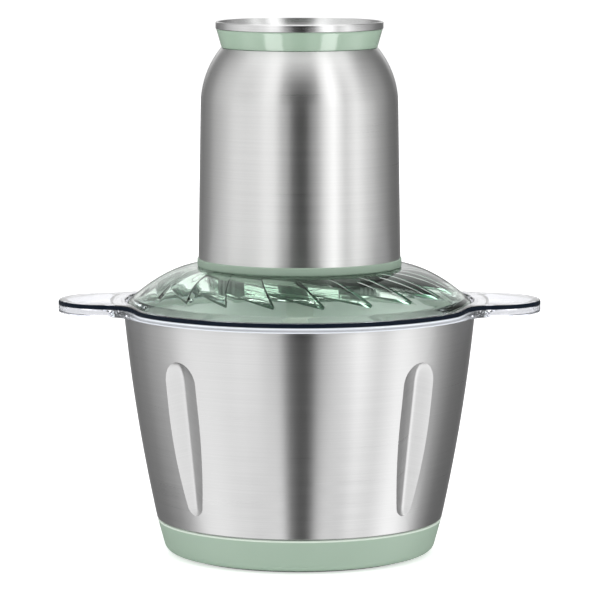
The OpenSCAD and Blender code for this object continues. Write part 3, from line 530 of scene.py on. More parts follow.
# %% Section of the lid
SEAT_Z = low("base_ring") + 3
LID_T = 2.2
CREST_R = 60.5
WELL_R = 46
WELL_Z = SEAT_Z - 13.2
LID_EDGE_Z = RING_TOP + 2.2
LID_FLANGE_R = reach("lid")
SKIRT_R = 96.8
TOOTH_IN_R = 49.5
TOOTH_OUT_R = (79, 88)
UNDER_ROWS = (14, 12)


def dome_z(r):
    t = max((r - CREST_R) / (LID_FLANGE_R - CREST_R), 0)
    return SEAT_Z - (SEAT_Z - LID_EDGE_Z) * t ** 1.7


def lid_outline():
    """The closed half section, and the first and the number of its rows under the dome."""
    inner_r = SKIRT_R - LID_T
    low_z = RING_TOP - 5.1
    hole_r = 8.2
    boss_r = 12
    outside = [(LID_FLANGE_R - 0.2, RING_TOP + 0.1), (LID_FLANGE_R, RING_TOP + 0.5),
               (LID_FLANGE_R, LID_EDGE_Z - 0.6), (LID_FLANGE_R - 0.4, LID_EDGE_Z - 0.1)]
    outside += [(r, dome_z(r) + 0.04) for r in span(LID_FLANGE_R - 1, CREST_R, 26)]
    well = rounded([
        (CREST_R - 1, SEAT_Z + 0.04, 0), (WELL_R, SEAT_Z + 0.04, 0.6), (WELL_R, WELL_Z, 1.2),
        (boss_r, WELL_Z, 0.4), (boss_r, WELL_Z + 1, 0.3), (hole_r, WELL_Z + 1, 0.3),
        (hole_r, WELL_Z - LID_T - 2, 0.3), (boss_r, WELL_Z - LID_T - 2, 0.3),
        (boss_r, WELL_Z - LID_T, 0.4), (WELL_R + LID_T, WELL_Z - LID_T, 2.4)
    ], 3)
    saw_r = TOOTH_OUT_R[0]
    under_radii = [TOOTH_IN_R] + span(TOOTH_IN_R + 0.8, saw_r, UNDER_ROWS[0])
    under_radii += span(saw_r + 0.4, inner_r - 0.6, UNDER_ROWS[1])
    under = [(r, dome_z(r) - LID_T) for r in under_radii]
    skirt = [(inner_r, dome_z(inner_r) - LID_T - 1), (inner_r, low_z + 0.4), (inner_r + 0.4, low_z),
             (SKIRT_R - 0.4, low_z), (SKIRT_R, low_z + 0.4), (SKIRT_R, RING_TOP + 0.05)]
    first = len(outside) + len(well)
    return outside + well + under + skirt, first, len(under)


lid_points, first_row, under_rows = lid_outline()
print("points in the lid's section:", len(lid_points))

# %% [markdown]
# Under the dome lies a wheel of slanted facets like the teeth of a round saw. Each tooth grows
# thicker round the lid and drops in a sharp step, and the steps bend the light, so the smooth
# dome looks cut like glass. The columns are bunched at every step and follow the swirl, and one
# row of points follows the saw's outer edge.

# %% Green lid with its teeth
TEETH = 20
TOOTH_STEPS = ((0, 0.35), (0.2, 0.48), (0.4, 0.61), (0.6, 0.74), (0.8, 0.87), (0.95, 0.97),
               (0.975, 1), (0.99, 0.7))
LID_COLUMNS = TEETH * len(TOOTH_STEPS)
TOOTH_DEPTH = 2
TOOTH_SWEEP = math.radians(15.5)
TOOTH_TURN = math.radians(-6.5)
FIRST_ROW = 20


def cut_teeth(piece, outline, first, rows):
    """Moves a plain spun grid to the lid's section, and its underside to the saw's teeth."""
    inner = rows - 1 - UNDER_ROWS[1]
    inner_r = SKIRT_R - LID_T - 0.6
    for vertex in piece.data.vertices:
        spun_r, angle, z = polar(vertex)
        row = int(round(spun_r)) - FIRST_ROW
        r, z = outline[row]
        tooth, step = divmod(int(round(angle / (2 * math.pi) * LID_COLUMNS)), len(TOOTH_STEPS))
        share, depth = TOOTH_STEPS[step]
        angle = (tooth + share) * 2 * math.pi / TEETH + TOOTH_TURN
        k = row - first
        if 0 <= k < rows:
            edge_r = TOOTH_OUT_R[0] + (TOOTH_OUT_R[1] - TOOTH_OUT_R[0]) * share
            if k <= inner:
                r = TOOTH_IN_R + (edge_r - TOOTH_IN_R) * k / inner
                z = dome_z(r) - LID_T - TOOTH_DEPTH * depth * ease((r - TOOTH_IN_R) / 3)
            else:
                first_r = edge_r + 0.5
                r = first_r + (inner_r - first_r) * (k - inner - 1) / (rows - inner - 2)
                z = dome_z(r) - LID_T
            angle += TOOTH_SWEEP * (r - TOOTH_IN_R) / (TOOTH_OUT_R[1] - TOOTH_IN_R)
        set_polar(vertex, r, angle, z)


lid = turned("green_lid", [(FIRST_ROW + i, 0) for i in range(len(lid_points))], LID_COLUMNS)
cut_teeth(lid, lid_points, first_row, under_rows)
outward(lid)
smooth(lid, 25)
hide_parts("lid")
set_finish(lid, "clear_green_plastic")
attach(lid, "lid")
print("lid faces:", len(lid.data.polygons))

# %% [markdown]
# Four dark ribbed blocks stand under the dome, beside the well, and show through the green. Each
# is a flat outline with three notches, extruded to its height and turned to its place.

# %% Blocks under the dome
LUG_TURNS = (45, 135, 225, 315)


def lug(turn):
    """A ribbed block under the dome, beside the well."""
    low_r, high_r, half = WELL_R + LID_T + 0.1, WELL_R + LID_T + 8, 6.5
    notch_r = high_r - 1.5
    low_z = WELL_Z + 1
    height = SEAT_Z - LID_T - 0.1 - low_z
    points = [(low_r, -half), (high_r, -half)]
    for side in (-3.4, 0, 3.4):
        points += [(high_r, side - 0.9), (notch_r, side - 0.6)]
        points += [(notch_r, side + 0.6), (high_r, side + 0.9)]
    points += [(high_r, half), (low_r, half)]
    clear()
    bpy.ops.mesh.primitive_circle_add(vertices=len(points), radius=MM, fill_type="NGON")
    block = bpy.context.object
    for vertex, (x, y) in zip(block.data.vertices, points):
        vertex.co = (x * MM, y * MM, low_z * MM)
    bpy.ops.object.mode_set(mode="EDIT")
    bpy.ops.mesh.select_all(action="SELECT")
    bpy.ops.mesh.extrude_region_move(TRANSFORM_OT_translate={"value": (0, 0, height * MM)})
    bpy.ops.mesh.select_all(action="SELECT")
    bpy.ops.transform.rotate(value=-math.radians(turn), orient_axis="Z", center_override=(0, 0, 0))
    bpy.ops.object.mode_set(mode="OBJECT")
    outward(block)
    return block


def join(piece, others):
    choose(piece)
    for other in others:
        other.select_set(True)
    bpy.ops.object.join()
    return piece


lugs = [lug(turn) for turn in LUG_TURNS]
join(lugs[0], lugs[1:])
lugs[0].name = "lid_lugs"
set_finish(lugs[0], "coupling_plastic")
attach(lugs[0], "lid")
print("faces of the four blocks:", len(lugs[0].data.polygons))

# %% [markdown]
# The motor head is a green base ring, a deep drawn steel shell with a round shoulder, a flared
# green collar and a steel cup whose lip stands a little above the collar. The shell's profile
# follows the CAD shell: a slight taper, then one arc that leans in to the neck.

# %% Motor head shells
SHELL_LOW = low("motor_shell")
SHELL_LOW_R = reach("motor_shell")
SHELL_TOP = top("motor_shell")
SHELL_MID = SHELL_LOW + 87.6
SHELL_TOP_R = SHELL_LOW_R - 1.45
MOUTH_R = 44.9
COLLAR_TOP = top("neck_collar")
LIP_TOP = top("top_cup")


def shell_radius(z):
    if z < SHELL_MID:
        return SHELL_LOW_R + (SHELL_TOP_R - SHELL_LOW_R) * (z - SHELL_LOW) / (SHELL_MID - SHELL_LOW)
    rise = SHELL_TOP - SHELL_MID
    draw = SHELL_TOP_R - MOUTH_R
    arc = (rise ** 2 + draw ** 2) / (2 * draw)
    return SHELL_TOP_R - arc + math.sqrt(arc ** 2 - (z - SHELL_MID) ** 2)


def collar_radius(z, low_r, high_r):
    return low_r + (high_r - low_r) * (z - SHELL_TOP) / (COLLAR_TOP - SHELL_TOP)


heights = span(SHELL_LOW, SHELL_MID, 12) + span(SHELL_MID + 2.5, SHELL_TOP, 14)
shell = turned("steel_shell", [(shell_radius(z), z) for z in heights]
               + [(shell_radius(z) - SHEET, z) for z in reversed(heights)], 192)
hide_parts("motor_shell")
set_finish(shell, "shell_steel")
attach(shell, "head")

collar_heights = span(SHELL_TOP + 0.9, COLLAR_TOP - 0.4, 8)
sleeve_low = SHELL_TOP - 14.6
collar_outline = [(MOUTH_R - 3.6, sleeve_low), (MOUTH_R - 1.3, sleeve_low),
                  (MOUTH_R - 1.3, SHELL_TOP + 0.05), (MOUTH_R - 0.9, SHELL_TOP + 0.05),
                  (MOUTH_R - 0.45, SHELL_TOP + 0.35)]
collar_outline += [(collar_radius(z, MOUTH_R - 0.5, MOUTH_R + 2.6), z) for z in collar_heights]
collar_outline += [(MOUTH_R + 2.45, COLLAR_TOP - 0.05), (MOUTH_R + 1.8, COLLAR_TOP)]
collar_outline += [(collar_radius(z, MOUTH_R - 2.3, MOUTH_R + 1.5), z)
                   for z in reversed(collar_heights)]
collar_outline += [(MOUTH_R - 3.6, SHELL_TOP - 3)]
collar = turned("green_collar", collar_outline)
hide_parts("neck_collar")
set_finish(collar, "green_plastic")
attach(collar, "head")

base_ring_r = reach("base_ring")
shaft_r = 12
skirt_in, skirt_out, skirt_low = 42, WELL_R - 0.6, low("base_ring")
wall_out, wall_in, wall_top = SHELL_LOW_R - 1, SHELL_LOW_R - 3.5, SHELL_LOW + 6.6
base_ring = turned("green_base_ring", rounded([
    (shaft_r, SEAT_Z, 0.3), (skirt_in, SEAT_Z, 0), (skirt_in, skirt_low, 0.4),
    (skirt_out, skirt_low, 0.6), (skirt_out, SEAT_Z, 0), (base_ring_r, SEAT_Z, 1.1),
    (base_ring_r, SHELL_LOW, 0.55), (wall_out, SHELL_LOW, 0), (wall_out, wall_top, 0.4),
    (wall_in, wall_top, 0.4), (wall_in, SEAT_Z + 3, 0.5), (shaft_r, SEAT_Z + 3, 0.3)
]))
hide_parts("base_ring")
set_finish(base_ring, "green_plastic")
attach(base_ring, "head")
print("head shells:", [len(p.data.polygons) for p in (shell, collar, base_ring)])

# %% [markdown]
# The cup that tops the head is thin steel. Its wall follows the collar's flare, its lip is
# rolled over the collar's edge, and a ledge in its floor leaves a round opening for the buttons.

# %% Steel cup
CUP_FLOOR = COLLAR_TOP - 15.4
WELL_OPENING_R = MOUTH_R - 7.5
CUP_T = 0.6
LIP_R = 0.8
lip_r = reach("top_cup")
cup_heights = span(CUP_FLOOR + 6, COLLAR_TOP - 0.2, 8)
lip_turns = span(0, math.pi * 0.75, 7)


def cup_wall(low_r, high_r, rows):
    """The cup's wall, upright in the neck and flared with the collar above it."""
    return [(collar_radius(max(z, SHELL_TOP), low_r, high_r), z) for z in rows]


cup_outline = [(WELL_OPENING_R, CUP_FLOOR), (MOUTH_R - 3.4, CUP_FLOOR),
               (MOUTH_R - 2.4, CUP_FLOOR + 1)]
cup_outline += cup_wall(MOUTH_R - 2.4, MOUTH_R + 1.4, cup_heights)
cup_outline += [(MOUTH_R + 1.5, COLLAR_TOP + 0.05), (lip_r - 0.3, COLLAR_TOP + 0.05),
                (lip_r, COLLAR_TOP + 0.3)]
cup_outline += [(lip_r - LIP_R + LIP_R * math.cos(a), LIP_TOP - LIP_R + LIP_R * math.sin(a))
                for a in lip_turns]
cup_outline += [(MOUTH_R + 1.3, LIP_TOP - 1.6), (MOUTH_R + 0.9, COLLAR_TOP)]
cup_outline += cup_wall(MOUTH_R - 3, MOUTH_R + 0.8, list(reversed(cup_heights)))
cup_outline += [(MOUTH_R - 3.1, CUP_FLOOR + 1.6), (MOUTH_R - 4, CUP_FLOOR + CUP_T),
                (WELL_OPENING_R, CUP_FLOOR + CUP_T)]
cup = turned("steel_cup", cup_outline)
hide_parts("top_cup")
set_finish(cup, "cup_steel")
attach(cup, "head")
print("cup faces:", len(cup.data.polygons))

# %% [markdown]
# The two speed buttons share the round opening. Each is half of a disc with a soft rim, cut a
# millimetre off the middle, and the cut is given the same soft edge by a bevel modifier.
# A raised dot for the low speed and two for the high speed can be told apart by touch.

# %% Speed buttons
DOT_R = 1.4
DOT_PITCH = 5
DOT_Y = 17
STEM_R = 2.4
STEM_Y = 22


def apply_all(piece):
    choose(piece)
    for modifier in list(piece.modifiers):
        bpy.ops.object.modifier_apply(modifier=modifier.name)


def speed_button(name, node, side, dots):
    high = top(node)
    low_z = CUP_FLOOR - 2.5
    r = WELL_OPENING_R - 0.6
    skirt_r, skirt_top = r + 2.4, low_z + 2.3
    button = turned(name, rounded([
        (0, low_z, 0), (skirt_r, low_z, 0.3), (skirt_r, skirt_top, 0.3), (r, skirt_top, 0),
        (r, high, 1.4), (r - 5, high - 0.25, 2), (0, high - 0.9, 0)
    ]), 128)
    choose(button)
    bpy.ops.object.mode_set(mode="EDIT")
    bpy.ops.mesh.select_all(action="SELECT")
    middle = (0, side * MM, 0)
    bpy.ops.mesh.bisect(plane_co=middle, plane_no=(0, side, 0), use_fill=True, clear_inner=True)
    bpy.ops.object.mode_set(mode="OBJECT")
    bevel = button.modifiers.new("soft edge", "BEVEL")
    bevel.width = 0.6 * MM
    bevel.segments = 3
    bevel.limit_method = "ANGLE"
    bevel.angle_limit = math.radians(60)
    apply_all(button)
    marks = []
    for k in range(dots):
        clear()
        x = (k - (dots - 1) / 2) * DOT_PITCH
        place = Vector((x, side * DOT_Y, high - 1.1)) * MM
        bpy.ops.mesh.primitive_uv_sphere_add(segments=24, ring_count=12, radius=DOT_R * MM,
                                             location=place)
        bpy.ops.object.transform_apply(location=True, rotation=False, scale=False)
        marks.append(bpy.context.object)
    clear()
    stem_low, stem_high = low(node), low_z + 1
    middle_z = (stem_low + stem_high) / 2
    bpy.ops.mesh.primitive_cylinder_add(vertices=32, radius=STEM_R * MM,
                                        depth=(stem_high - stem_low) * MM,
                                        location=(0, side * STEM_Y * MM, middle_z * MM))
    bpy.ops.object.transform_apply(location=True, rotation=False, scale=False)
    join(button, marks + [bpy.context.object])
    smooth(button, 40)
    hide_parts(node)
    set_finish(button, "button_plastic")
    return button


low_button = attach(speed_button("low_button", "low_speed_button", -1, 1), "low_button")
high_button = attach(speed_button("high_button", "high_speed_button", 1, 2), "high_button")
print("button faces:", len(low_button.data.polygons), len(high_button.data.polygons))

# %% [markdown]
# Each pair of blades is stamped from one steel strip and ground on the leading edge. The outline
# of an arm is laid out flat, extruded to the sheet's thickness, and the upper rim of the cutting
# side is then drawn in, which leaves the wide bevel that a grinding wheel makes.

# %% One arm of a blade
BLADE_T = 1.5
ARM_REACH = FOOT_R - 8.1
ARM_SWEEP = 16
ARM_TIP = 1
ARM_ROOT = 12


def blade_arm(name, low_z, turn):
    steps = 14
    line = [(ARM_REACH * t, ARM_SWEEP * t * t, ARM_TIP + (ARM_ROOT - ARM_TIP) * (1 - t ** 1.6))
            for t in span(0, 1, steps)]
    back = [(x, y + half) for x, y, half in reversed(line)]
    edge = [(x, y - half) for x, y, half in line]
    clear()
    bpy.ops.mesh.primitive_circle_add(vertices=len(edge + back), radius=MM, fill_type="NGON")
    arm = bpy.context.object
    arm.name = name
    for vertex, (x, y) in zip(arm.data.vertices, edge + back):
        vertex.co = (x * MM, y * MM, low_z * MM)
    bpy.ops.object.mode_set(mode="EDIT")
    bpy.ops.mesh.select_all(action="SELECT")
    bpy.ops.mesh.extrude_region_move(TRANSFORM_OT_translate={"value": (0, 0, BLADE_T * MM)})
    bpy.ops.object.mode_set(mode="OBJECT")
    count = len(edge + back)
    for vertex in list(arm.data.vertices)[count:]:
        k = vertex.index - count
        if 3 < k <= steps:
            x, y, half = line[k]
            vertex.co.y += min(4.5, 1.5 * half) * MM * ease((k - 3) / 3)
    arm.data.transform(Matrix.Rotation(math.radians(turn), 4, "Z"))
    return arm


print("reach of an arm:", round(ARM_REACH, 1))

# %% [markdown]
# Two arms grow out of an eye that sits on the hub. The arms are cut off inside the eye, so that
# they don't reach the hub's hole, and an exact boolean makes the three one solid.

# %% Pairs of blades
HUB_R = 8.6
EYE_R = 14
ARM_START = 11


def union(piece, others):
    for other in others:
        modifier = piece.modifiers.new("join", "BOOLEAN")
        modifier.operation = "UNION"
        modifier.solver = "EXACT"
        modifier.object = other
        apply_all(piece)
        bpy.data.objects.remove(other)
    return piece


def blade_pair(name, node, turn):
    low_z = low(node)
    high = low_z + BLADE_T
    in_r = HUB_R + 0.1
    eye = turned(name, [(in_r, low_z), (EYE_R, low_z), (EYE_R, high), (in_r, high)], 64)
    arms = [blade_arm(name + "_arm", low_z, turn + side) for side in (0, 180)]
    for arm in arms:
        outward(arm)
        choose(arm)
        bpy.ops.object.mode_set(mode="EDIT")
        bpy.ops.mesh.select_all(action="SELECT")
        across = Vector((math.cos(math.radians(turn)), math.sin(math.radians(turn)), 0))
        if arm is arms[1]:
            across = -across
        start = across * ARM_START * MM
        bpy.ops.mesh.bisect(plane_co=start, plane_no=across, use_fill=True, clear_inner=True)
        bpy.ops.object.mode_set(mode="OBJECT")
    union(eye, arms)
    smooth(eye, 20)
    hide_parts(node)
    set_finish(eye, "blade_steel")
    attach(eye, "blade")
    return eye


lower_pair = blade_pair("lower_blade_pair", "lower_blades", 20)
upper_pair = blade_pair("upper_blade_pair", "upper_blades", 110)
print("blade faces:", len(lower_pair.data.polygons), len(upper_pair.data.polygons))

# %% [markdown]
# A finish is a node tree, but its arithmetic reads better as Python. One small class wraps a
# node's output, so that 1 - mask * 0.5 adds the Math nodes by itself.

# %% Shader arithmetic
class Value:
    """A number that varies over a surface."""

    def __init__(self, board, socket):
        self.board = board
        self.socket = socket

    def join(self, operation, a, b):
        node = self.board.add("ShaderNodeMath", {"operation": operation}, {0: a, 1: b})
        return Value(self.board, node.outputs[0])

    def __add__(self, other):
        return self.join("ADD", self, other)

    def __radd__(self, other):
        return self.join("ADD", other, self)

    def __sub__(self, other):
        return self.join("SUBTRACT", self, other)

    def __rsub__(self, other):
        return self.join("SUBTRACT", other, self)

    def __mul__(self, other):
        return self.join("MULTIPLY", self, other)

    def __rmul__(self, other):
        return self.join("MULTIPLY", other, self)

    def __pow__(self, other):
        return self.join("POWER", self, other)


print("made:", Value.__name__, "-", Value.__doc__)

# %% [markdown]
# One method adds any other node from its type, its settings and what goes into its sockets. The
# few groups of nodes that come back in several finishes get a method of their own here.

# %% Board of nodes
class Board:
    """A node tree with one way to add a node."""

    def __init__(self, tree):
        self.tree = tree

    def add(self, kind, settings=None, inputs=None):
        node = self.tree.nodes.new(kind)
        for key, value in (settings or {}).items():
            if key == "stops":
                ramp = node.color_ramp
                while len(ramp.elements) < len(value):
                    ramp.elements.new(0.5)
                for element, (position, colour) in zip(ramp.elements, value):
                    element.position = position
                    element.color = colour
            else:
                setattr(node, key, value)
        for key, value in (inputs or {}).items():
            self.feed(node.inputs[key], value)
        return node

    def feed(self, socket, value):
        if isinstance(value, Value):
            value = value.socket
        if isinstance(value, bpy.types.NodeSocket):
            self.tree.links.new(value, socket)
        else:
            socket.default_value = value

    def value(self, node, output=0):
        return Value(self, node.outputs[output])

    def split(self, vector):
        """The x, y and z of a vector."""
        parts = self.add("ShaderNodeSeparateXYZ", None, {"Vector": vector})
        return [self.value(parts, k) for k in range(3)]

    def between(self, value, low_end, high_end):
        """0 below one end, 1 above the other, and a soft step between."""
        node = self.add("ShaderNodeMapRange", {"interpolation_type": "SMOOTHSTEP"},
                        {"Value": value, "From Min": low_end, "From Max": high_end})
        return self.value(node)

    def mix(self, amount, first, second):
        """A socket with the blend of two colours, each a colour or another blend."""
        settings = {"data_type": "RGBA", "clamp_factor": True}
        node = self.add("ShaderNodeMix", settings, {"Factor": amount})
        ends = [s for s in node.inputs if s.type == "RGBA"]
        for end, colour in zip(ends, (first, second)):
            self.feed(end, colour if isinstance(colour, bpy.types.NodeSocket) else (*colour, 1))
        return [s for s in node.outputs if s.type == "RGBA"][0]


print("made:", Board.__name__, "-", Board.__doc__)

# %% [markdown]
# A finish is a board with a shader on it. What is the same all over the surface is set on the
# shader's own socket, and only what varies is linked. Patterns lie on the object's coordinates,
# so they stay with the piece when it moves.

# %% Finishes
class Finish(Board):
    """A material whose constants sit on the shader's own sockets."""

    def __init__(self, name, colour, **constants):
        self.material = bpy.data.materials.new(name)
        self.material.use_nodes = True
        super().__init__(self.material.node_tree)
        self.shader = self.tree.nodes["Principled BSDF"]
        self.shader.inputs["Base Color"].default_value = (*colour, 1)
        for key, value in constants.items():
            self.shader.inputs[key.replace("_", " ")].default_value = value
        coordinates = self.add("ShaderNodeTexCoord")
        self.place = coordinates.outputs["Object"]
        self.facing = coordinates.outputs["Normal"]

    def noise(self, scale, detail=2.0):
        """Even noise in every direction."""
        stretch = {"Vector": self.place, "Scale": (scale, scale, scale)}
        return self.cloud(self.add("ShaderNodeMapping", None, stretch).outputs[0], detail, 0.5)

    def cloud(self, place, detail, rough):
        inputs = {"Vector": place, "Scale": 1.0, "Detail": detail, "Roughness": rough}
        return self.value(self.add("ShaderNodeTexNoise", None, inputs))

    def shade(self, amount, dark, bright):
        """Base colour between two colours."""
        self.feed(self.shader.inputs["Base Color"], self.mix(amount, dark, bright))

    def bump(self, height, strength, distance):
        settings = {"Height": height, "Strength": strength, "Distance": distance}
        node = self.add("ShaderNodeBump", None, settings)
        self.feed(self.shader.inputs["Normal"], node.outputs[0])


print("made:", Finish.__name__, "-", Finish.__doc__)

# %% [markdown]
# Brushed steel is bright along one line and soft across it. The brush ran round the bowl, so the
# tiny grooves lie level and smear every light up and down, which gives the tall stripes.
# Anisotropy does that smearing. Fine level streaks in tone, roughness and height are stretched
# noise: slow round the piece, and quick up the wall or out along a floor.

# %% Steels
def brushed_steel(name, dark, bright, rough=0.3, grain=1.0):
    finish = Finish(name, bright, Metallic=1, Roughness=rough, Anisotropic=grain,
                    Anisotropic_Rotation=0.25)
    x, y, z = finish.split(finish.place)
    out = (x * x + y * y) ** 0.5

    def streaks(along, across, detail, roughness):
        """Noise that is slow round the piece and quick up the wall or out along a floor."""
        line = finish.add("ShaderNodeCombineXYZ", None, {
            "X": x * along, "Y": y * along, "Z": z * across + out * across})
        return finish.cloud(line.outputs[0], detail, roughness)

    fine = streaks(7, 1500, 3.0, 0.6)
    broad = streaks(5, 260, 2.0, 0.5)
    streak = fine * 0.65 + broad * 0.35
    finish.shade(streak * 1.6 - 0.3, dark, bright)
    finish.feed(finish.shader.inputs["Roughness"], (streak - 0.5) * 0.16 + rough)
    finish.bump(streak, 0.12, 0.00004)
    return finish.material


def plain_steel(name, tone, rough, scale):
    """Turned or ground steel with a faint uneven polish."""
    finish = Finish(name, tone, Metallic=1, Roughness=rough)
    wear = finish.noise(scale, 4)
    finish.shade(wear, [c * 0.86 for c in tone], tone)
    finish.feed(finish.shader.inputs["Roughness"], (wear - 0.5) * 0.18 + rough)
    finish.bump(finish.noise(scale * 9), 0.05, 0.0001)
    return finish.material


finishes = {
    "bowl_steel": brushed_steel("brushed bowl steel", (0.60, 0.60, 0.60), (0.70, 0.70, 0.70)),
    "shell_steel": brushed_steel("brushed shell steel", (0.60, 0.60, 0.595), (0.70, 0.70, 0.695)),
    "cup_steel": brushed_steel("brushed cup steel", (0.62, 0.62, 0.62), (0.74, 0.74, 0.74), 0.24),
    "blade_steel": plain_steel("ground blade steel", (0.72, 0.72, 0.73), 0.22, 160),
    "pin_steel": plain_steel("turned pin steel", (0.70, 0.70, 0.70), 0.2, 120),
    "bearing_steel": plain_steel("bearing steel", (0.62, 0.62, 0.64), 0.25, 200),
    "screw_steel": plain_steel("zinc plated screws", (0.66, 0.67, 0.70), 0.3, 300),
    "spring_steel": plain_steel("spring wire", (0.55, 0.55, 0.57), 0.3, 400),
    "laminated_iron": plain_steel("motor iron", (0.30, 0.30, 0.31), 0.5, 90),
    "cast_frame": plain_steel("cast frame", (0.50, 0.51, 0.52), 0.55, 250),
    "commutator_copper": plain_steel("commutator copper", (0.80, 0.44, 0.28), 0.3, 300),
    "copper_winding": plain_steel("lacquered winding", (0.62, 0.27, 0.13), 0.4, 500)
}
satin_inside = brushed_steel("satin steel inside the bowl", (0.84, 0.84, 0.84),
                             (0.92, 0.92, 0.92), 0.45, 0.3)
print("steels:", len(finishes))

# %% [markdown]
# The sage green plastic is satin: a soft body colour under a thin clear skin that shows
# the lamps as quiet highlights. A trace of mould texture keeps it from looking like paint.
# The collar is the same plastic with a polished skin, and the base has a painted highlight, a
# bright line along its top edge, so each of the two gets a finish of its own.

# %% Plastics and rubber
MOULD_GRAIN = 900
MOULD_DEPTH = 0.00003


def moulded(name, colour, rough, coat=0.0, texture=MOULD_GRAIN, depth=MOULD_DEPTH,
            body=0.5, skin=0.2):
    """Plastic or rubber: body is the gloss of the mass, coat and skin that of its surface."""
    finish = Finish(name, colour, Roughness=rough, Coat_Weight=coat, Coat_Roughness=skin,
                    Specular_IOR_Level=body)
    cloud = finish.noise(45, 3)
    grain = finish.noise(texture)
    finish.shade(cloud, [c * 0.95 for c in colour], [c * 1.05 for c in colour])
    finish.feed(finish.shader.inputs["Roughness"], (grain - 0.5) * 0.12 + rough)
    finish.bump(grain, 0.25, depth)
    return finish.material


SAGE = (0.315, 0.418, 0.332)
finishes.update({
    "green_plastic": moulded("sage green plastic", SAGE, 0.5, 0.15),
    "button_plastic": moulded("button plastic", (0.325, 0.452, 0.342), 0.45, 0.3),
    "coupling_plastic": moulded("coupling plastic", (0.05, 0.07, 0.06), 0.35),
    "seal_silicone": moulded("seal silicone", (0.75, 0.78, 0.75), 0.5),
    "foot_rubber": moulded("foot rubber", (0.06, 0.065, 0.063), 0.7, 0, 1500, 0.00008),
    "gland_rubber": moulded("gland rubber", (0.24, 0.34, 0.26), 0.6),
    "white_nylon": moulded("white nylon", (0.80, 0.80, 0.77), 0.4),
    "dark_phenolic": moulded("dark phenolic", (0.035, 0.032, 0.03), 0.45),
    "brush_carbon": moulded("brush carbon", (0.03, 0.03, 0.032), 0.6),
    "plunger_red": moulded("plunger red", (0.45, 0.03, 0.03), 0.4)
})
glossy_green = moulded("glossy sage green plastic", (0.325, 0.44, 0.342), 0.45, 1,
                       body=0, skin=0.13)


def painted_highlight_plastic(name, colour, rim):
    """The satin plastic of the base, with a painted highlight along its top edge."""
    finish = Finish(name, colour, Roughness=0.5, Coat_Weight=0.15, Coat_Roughness=0.2)
    height = finish.split(finish.place)[2]
    # Painted highlight: the top millimetre under the edge turns to the pale rim colour.
    finish.shade(finish.between(height, (COVER_Z - 1.5) * MM, (COVER_Z - 0.7) * MM), colour, rim)
    finish.bump(finish.noise(MOULD_GRAIN), 0.25, MOULD_DEPTH)
    return finish.material


# The pale rim colour is the painted highlight on the base's top edge.
painted_highlight_green = painted_highlight_plastic("sage green plastic with a bright rim", SAGE, (0.72, 0.82, 0.72))
print("finishes:", len(finishes))

# %% [markdown]
# The ring is water clear and the lid is tinted green through its mass. Both are solid
# refracting plastic, so their edges gather the dark and bright parts of the room. On the upright
# wall of the ring, a dark band under its top edge is painted shade and a pale band below it is
# painted light; both follow the wall's height. The polish of a mould is never quite flat, and a
# very faint, slow bump bends the lines a little.

# %% Clear ring's plastic
CLEAR_INDEX = 1.49
WALL_BAND = 5.6
DARK_END = (2.5, 2.9)


def clear_finish(name, colour, **constants):
    finish = Finish(name, colour, Roughness=0.02, IOR=CLEAR_INDEX, Transmission_Weight=1,
                    **constants)
    finish.bump(finish.noise(60), 0.05, 0.0004)
    return finish


def painted_band_plastic(name, colour, dark, painted_pale, painted_pale_rows):
    """Clear plastic whose outer wall has painted shade under its top edge and painted light below.
    """
    finish = clear_finish(name, colour)
    between = finish.between
    x, y, z = finish.split(finish.place)
    level = finish.split(finish.facing)[2]
    away = (x * x + y * y) ** 0.5
    turn = finish.value(finish.add("ShaderNodeMath", {"operation": "ARCTAN2"},
                                   {0: (y * y) ** 0.5, 1: (x * x) ** 0.5}))
    ear = 1 - between(turn, math.radians(18), math.radians(31))
    below = (ear * (EAR_TOP - RING_RIM) + RING_RIM) * MM - z
    outer = between(away, (RING_R - 0.7) * MM, (RING_R - 0.4) * MM)
    wall = outer * (1 - between((level * level) ** 0.5, 0.6, 0.8))
    foot_z = ear * (EAR_LOW - RING_LOW) + RING_LOW
    # Painted shade: the tint turns dark in a thin line along the bottom edge of the ears.
    painted_hem_shade = between(z * -1 + (foot_z + 0.9) * MM, 0, 0.3 * MM) * ear
    pale_start = between(below, DARK_END[0] * MM, DARK_END[1] * MM)
    # Painted shade: a dark band under the top of the outer wall. Below it a share of painted light,
    # strong on the ring and faint on the ears.
    band = between(below, 0, 0.2 * MM) * (1 - pale_start)
    lower = pale_start * (0.85 - ear * 0.75)
    finish.shade(painted_hem_shade * wall, colour, dark)
    # An opaque shader mixed in on the outer wall carries the painted shade of the dark band and the
    # painted light of the pale rows.
    tones = [(0, (*dark, 1)), (0.46, (*dark, 1))]
    tones += [(place, (*[c * tone for c in painted_pale], 1)) for place, tone in painted_pale_rows]
    share_down = below * (1 / (WALL_BAND * MM))
    rows = finish.add("ShaderNodeValToRGB", {"stops": tones}, {"Fac": share_down})
    pale = finish.add("ShaderNodeBsdfPrincipled", None, {
        "Base Color": rows.outputs[0], "Roughness": 0.25, "Specular IOR Level": 0.05})
    share = wall * (band + lower)
    mix = finish.add("ShaderNodeMixShader", None,
                     {0: share, 1: finish.shader.outputs[0], 2: pale.outputs[0]})
    finish.feed(finish.tree.nodes["Material Output"].inputs["Surface"], mix.outputs[0])
    return finish.material


# Rows of painted light down the ring's wall: place as a share of the band's height, and brightness.
PAINTED_PALE_ROWS = [(0.53, 0.9), (0.6, 1), (0.72, 0.5), (0.84, 0.45), (0.95, 1)]
# The third colour is the painted shade of the dark band and bottom line; the fourth is the pale
# painted light.
finishes["clear_plastic"] = painted_band_plastic("water clear plastic", (0.89, 0.895, 0.94),
                                             (0.004, 0.008, 0.016), (0.84, 0.88, 0.94), PAINTED_PALE_ROWS)
print("clear ring ready")
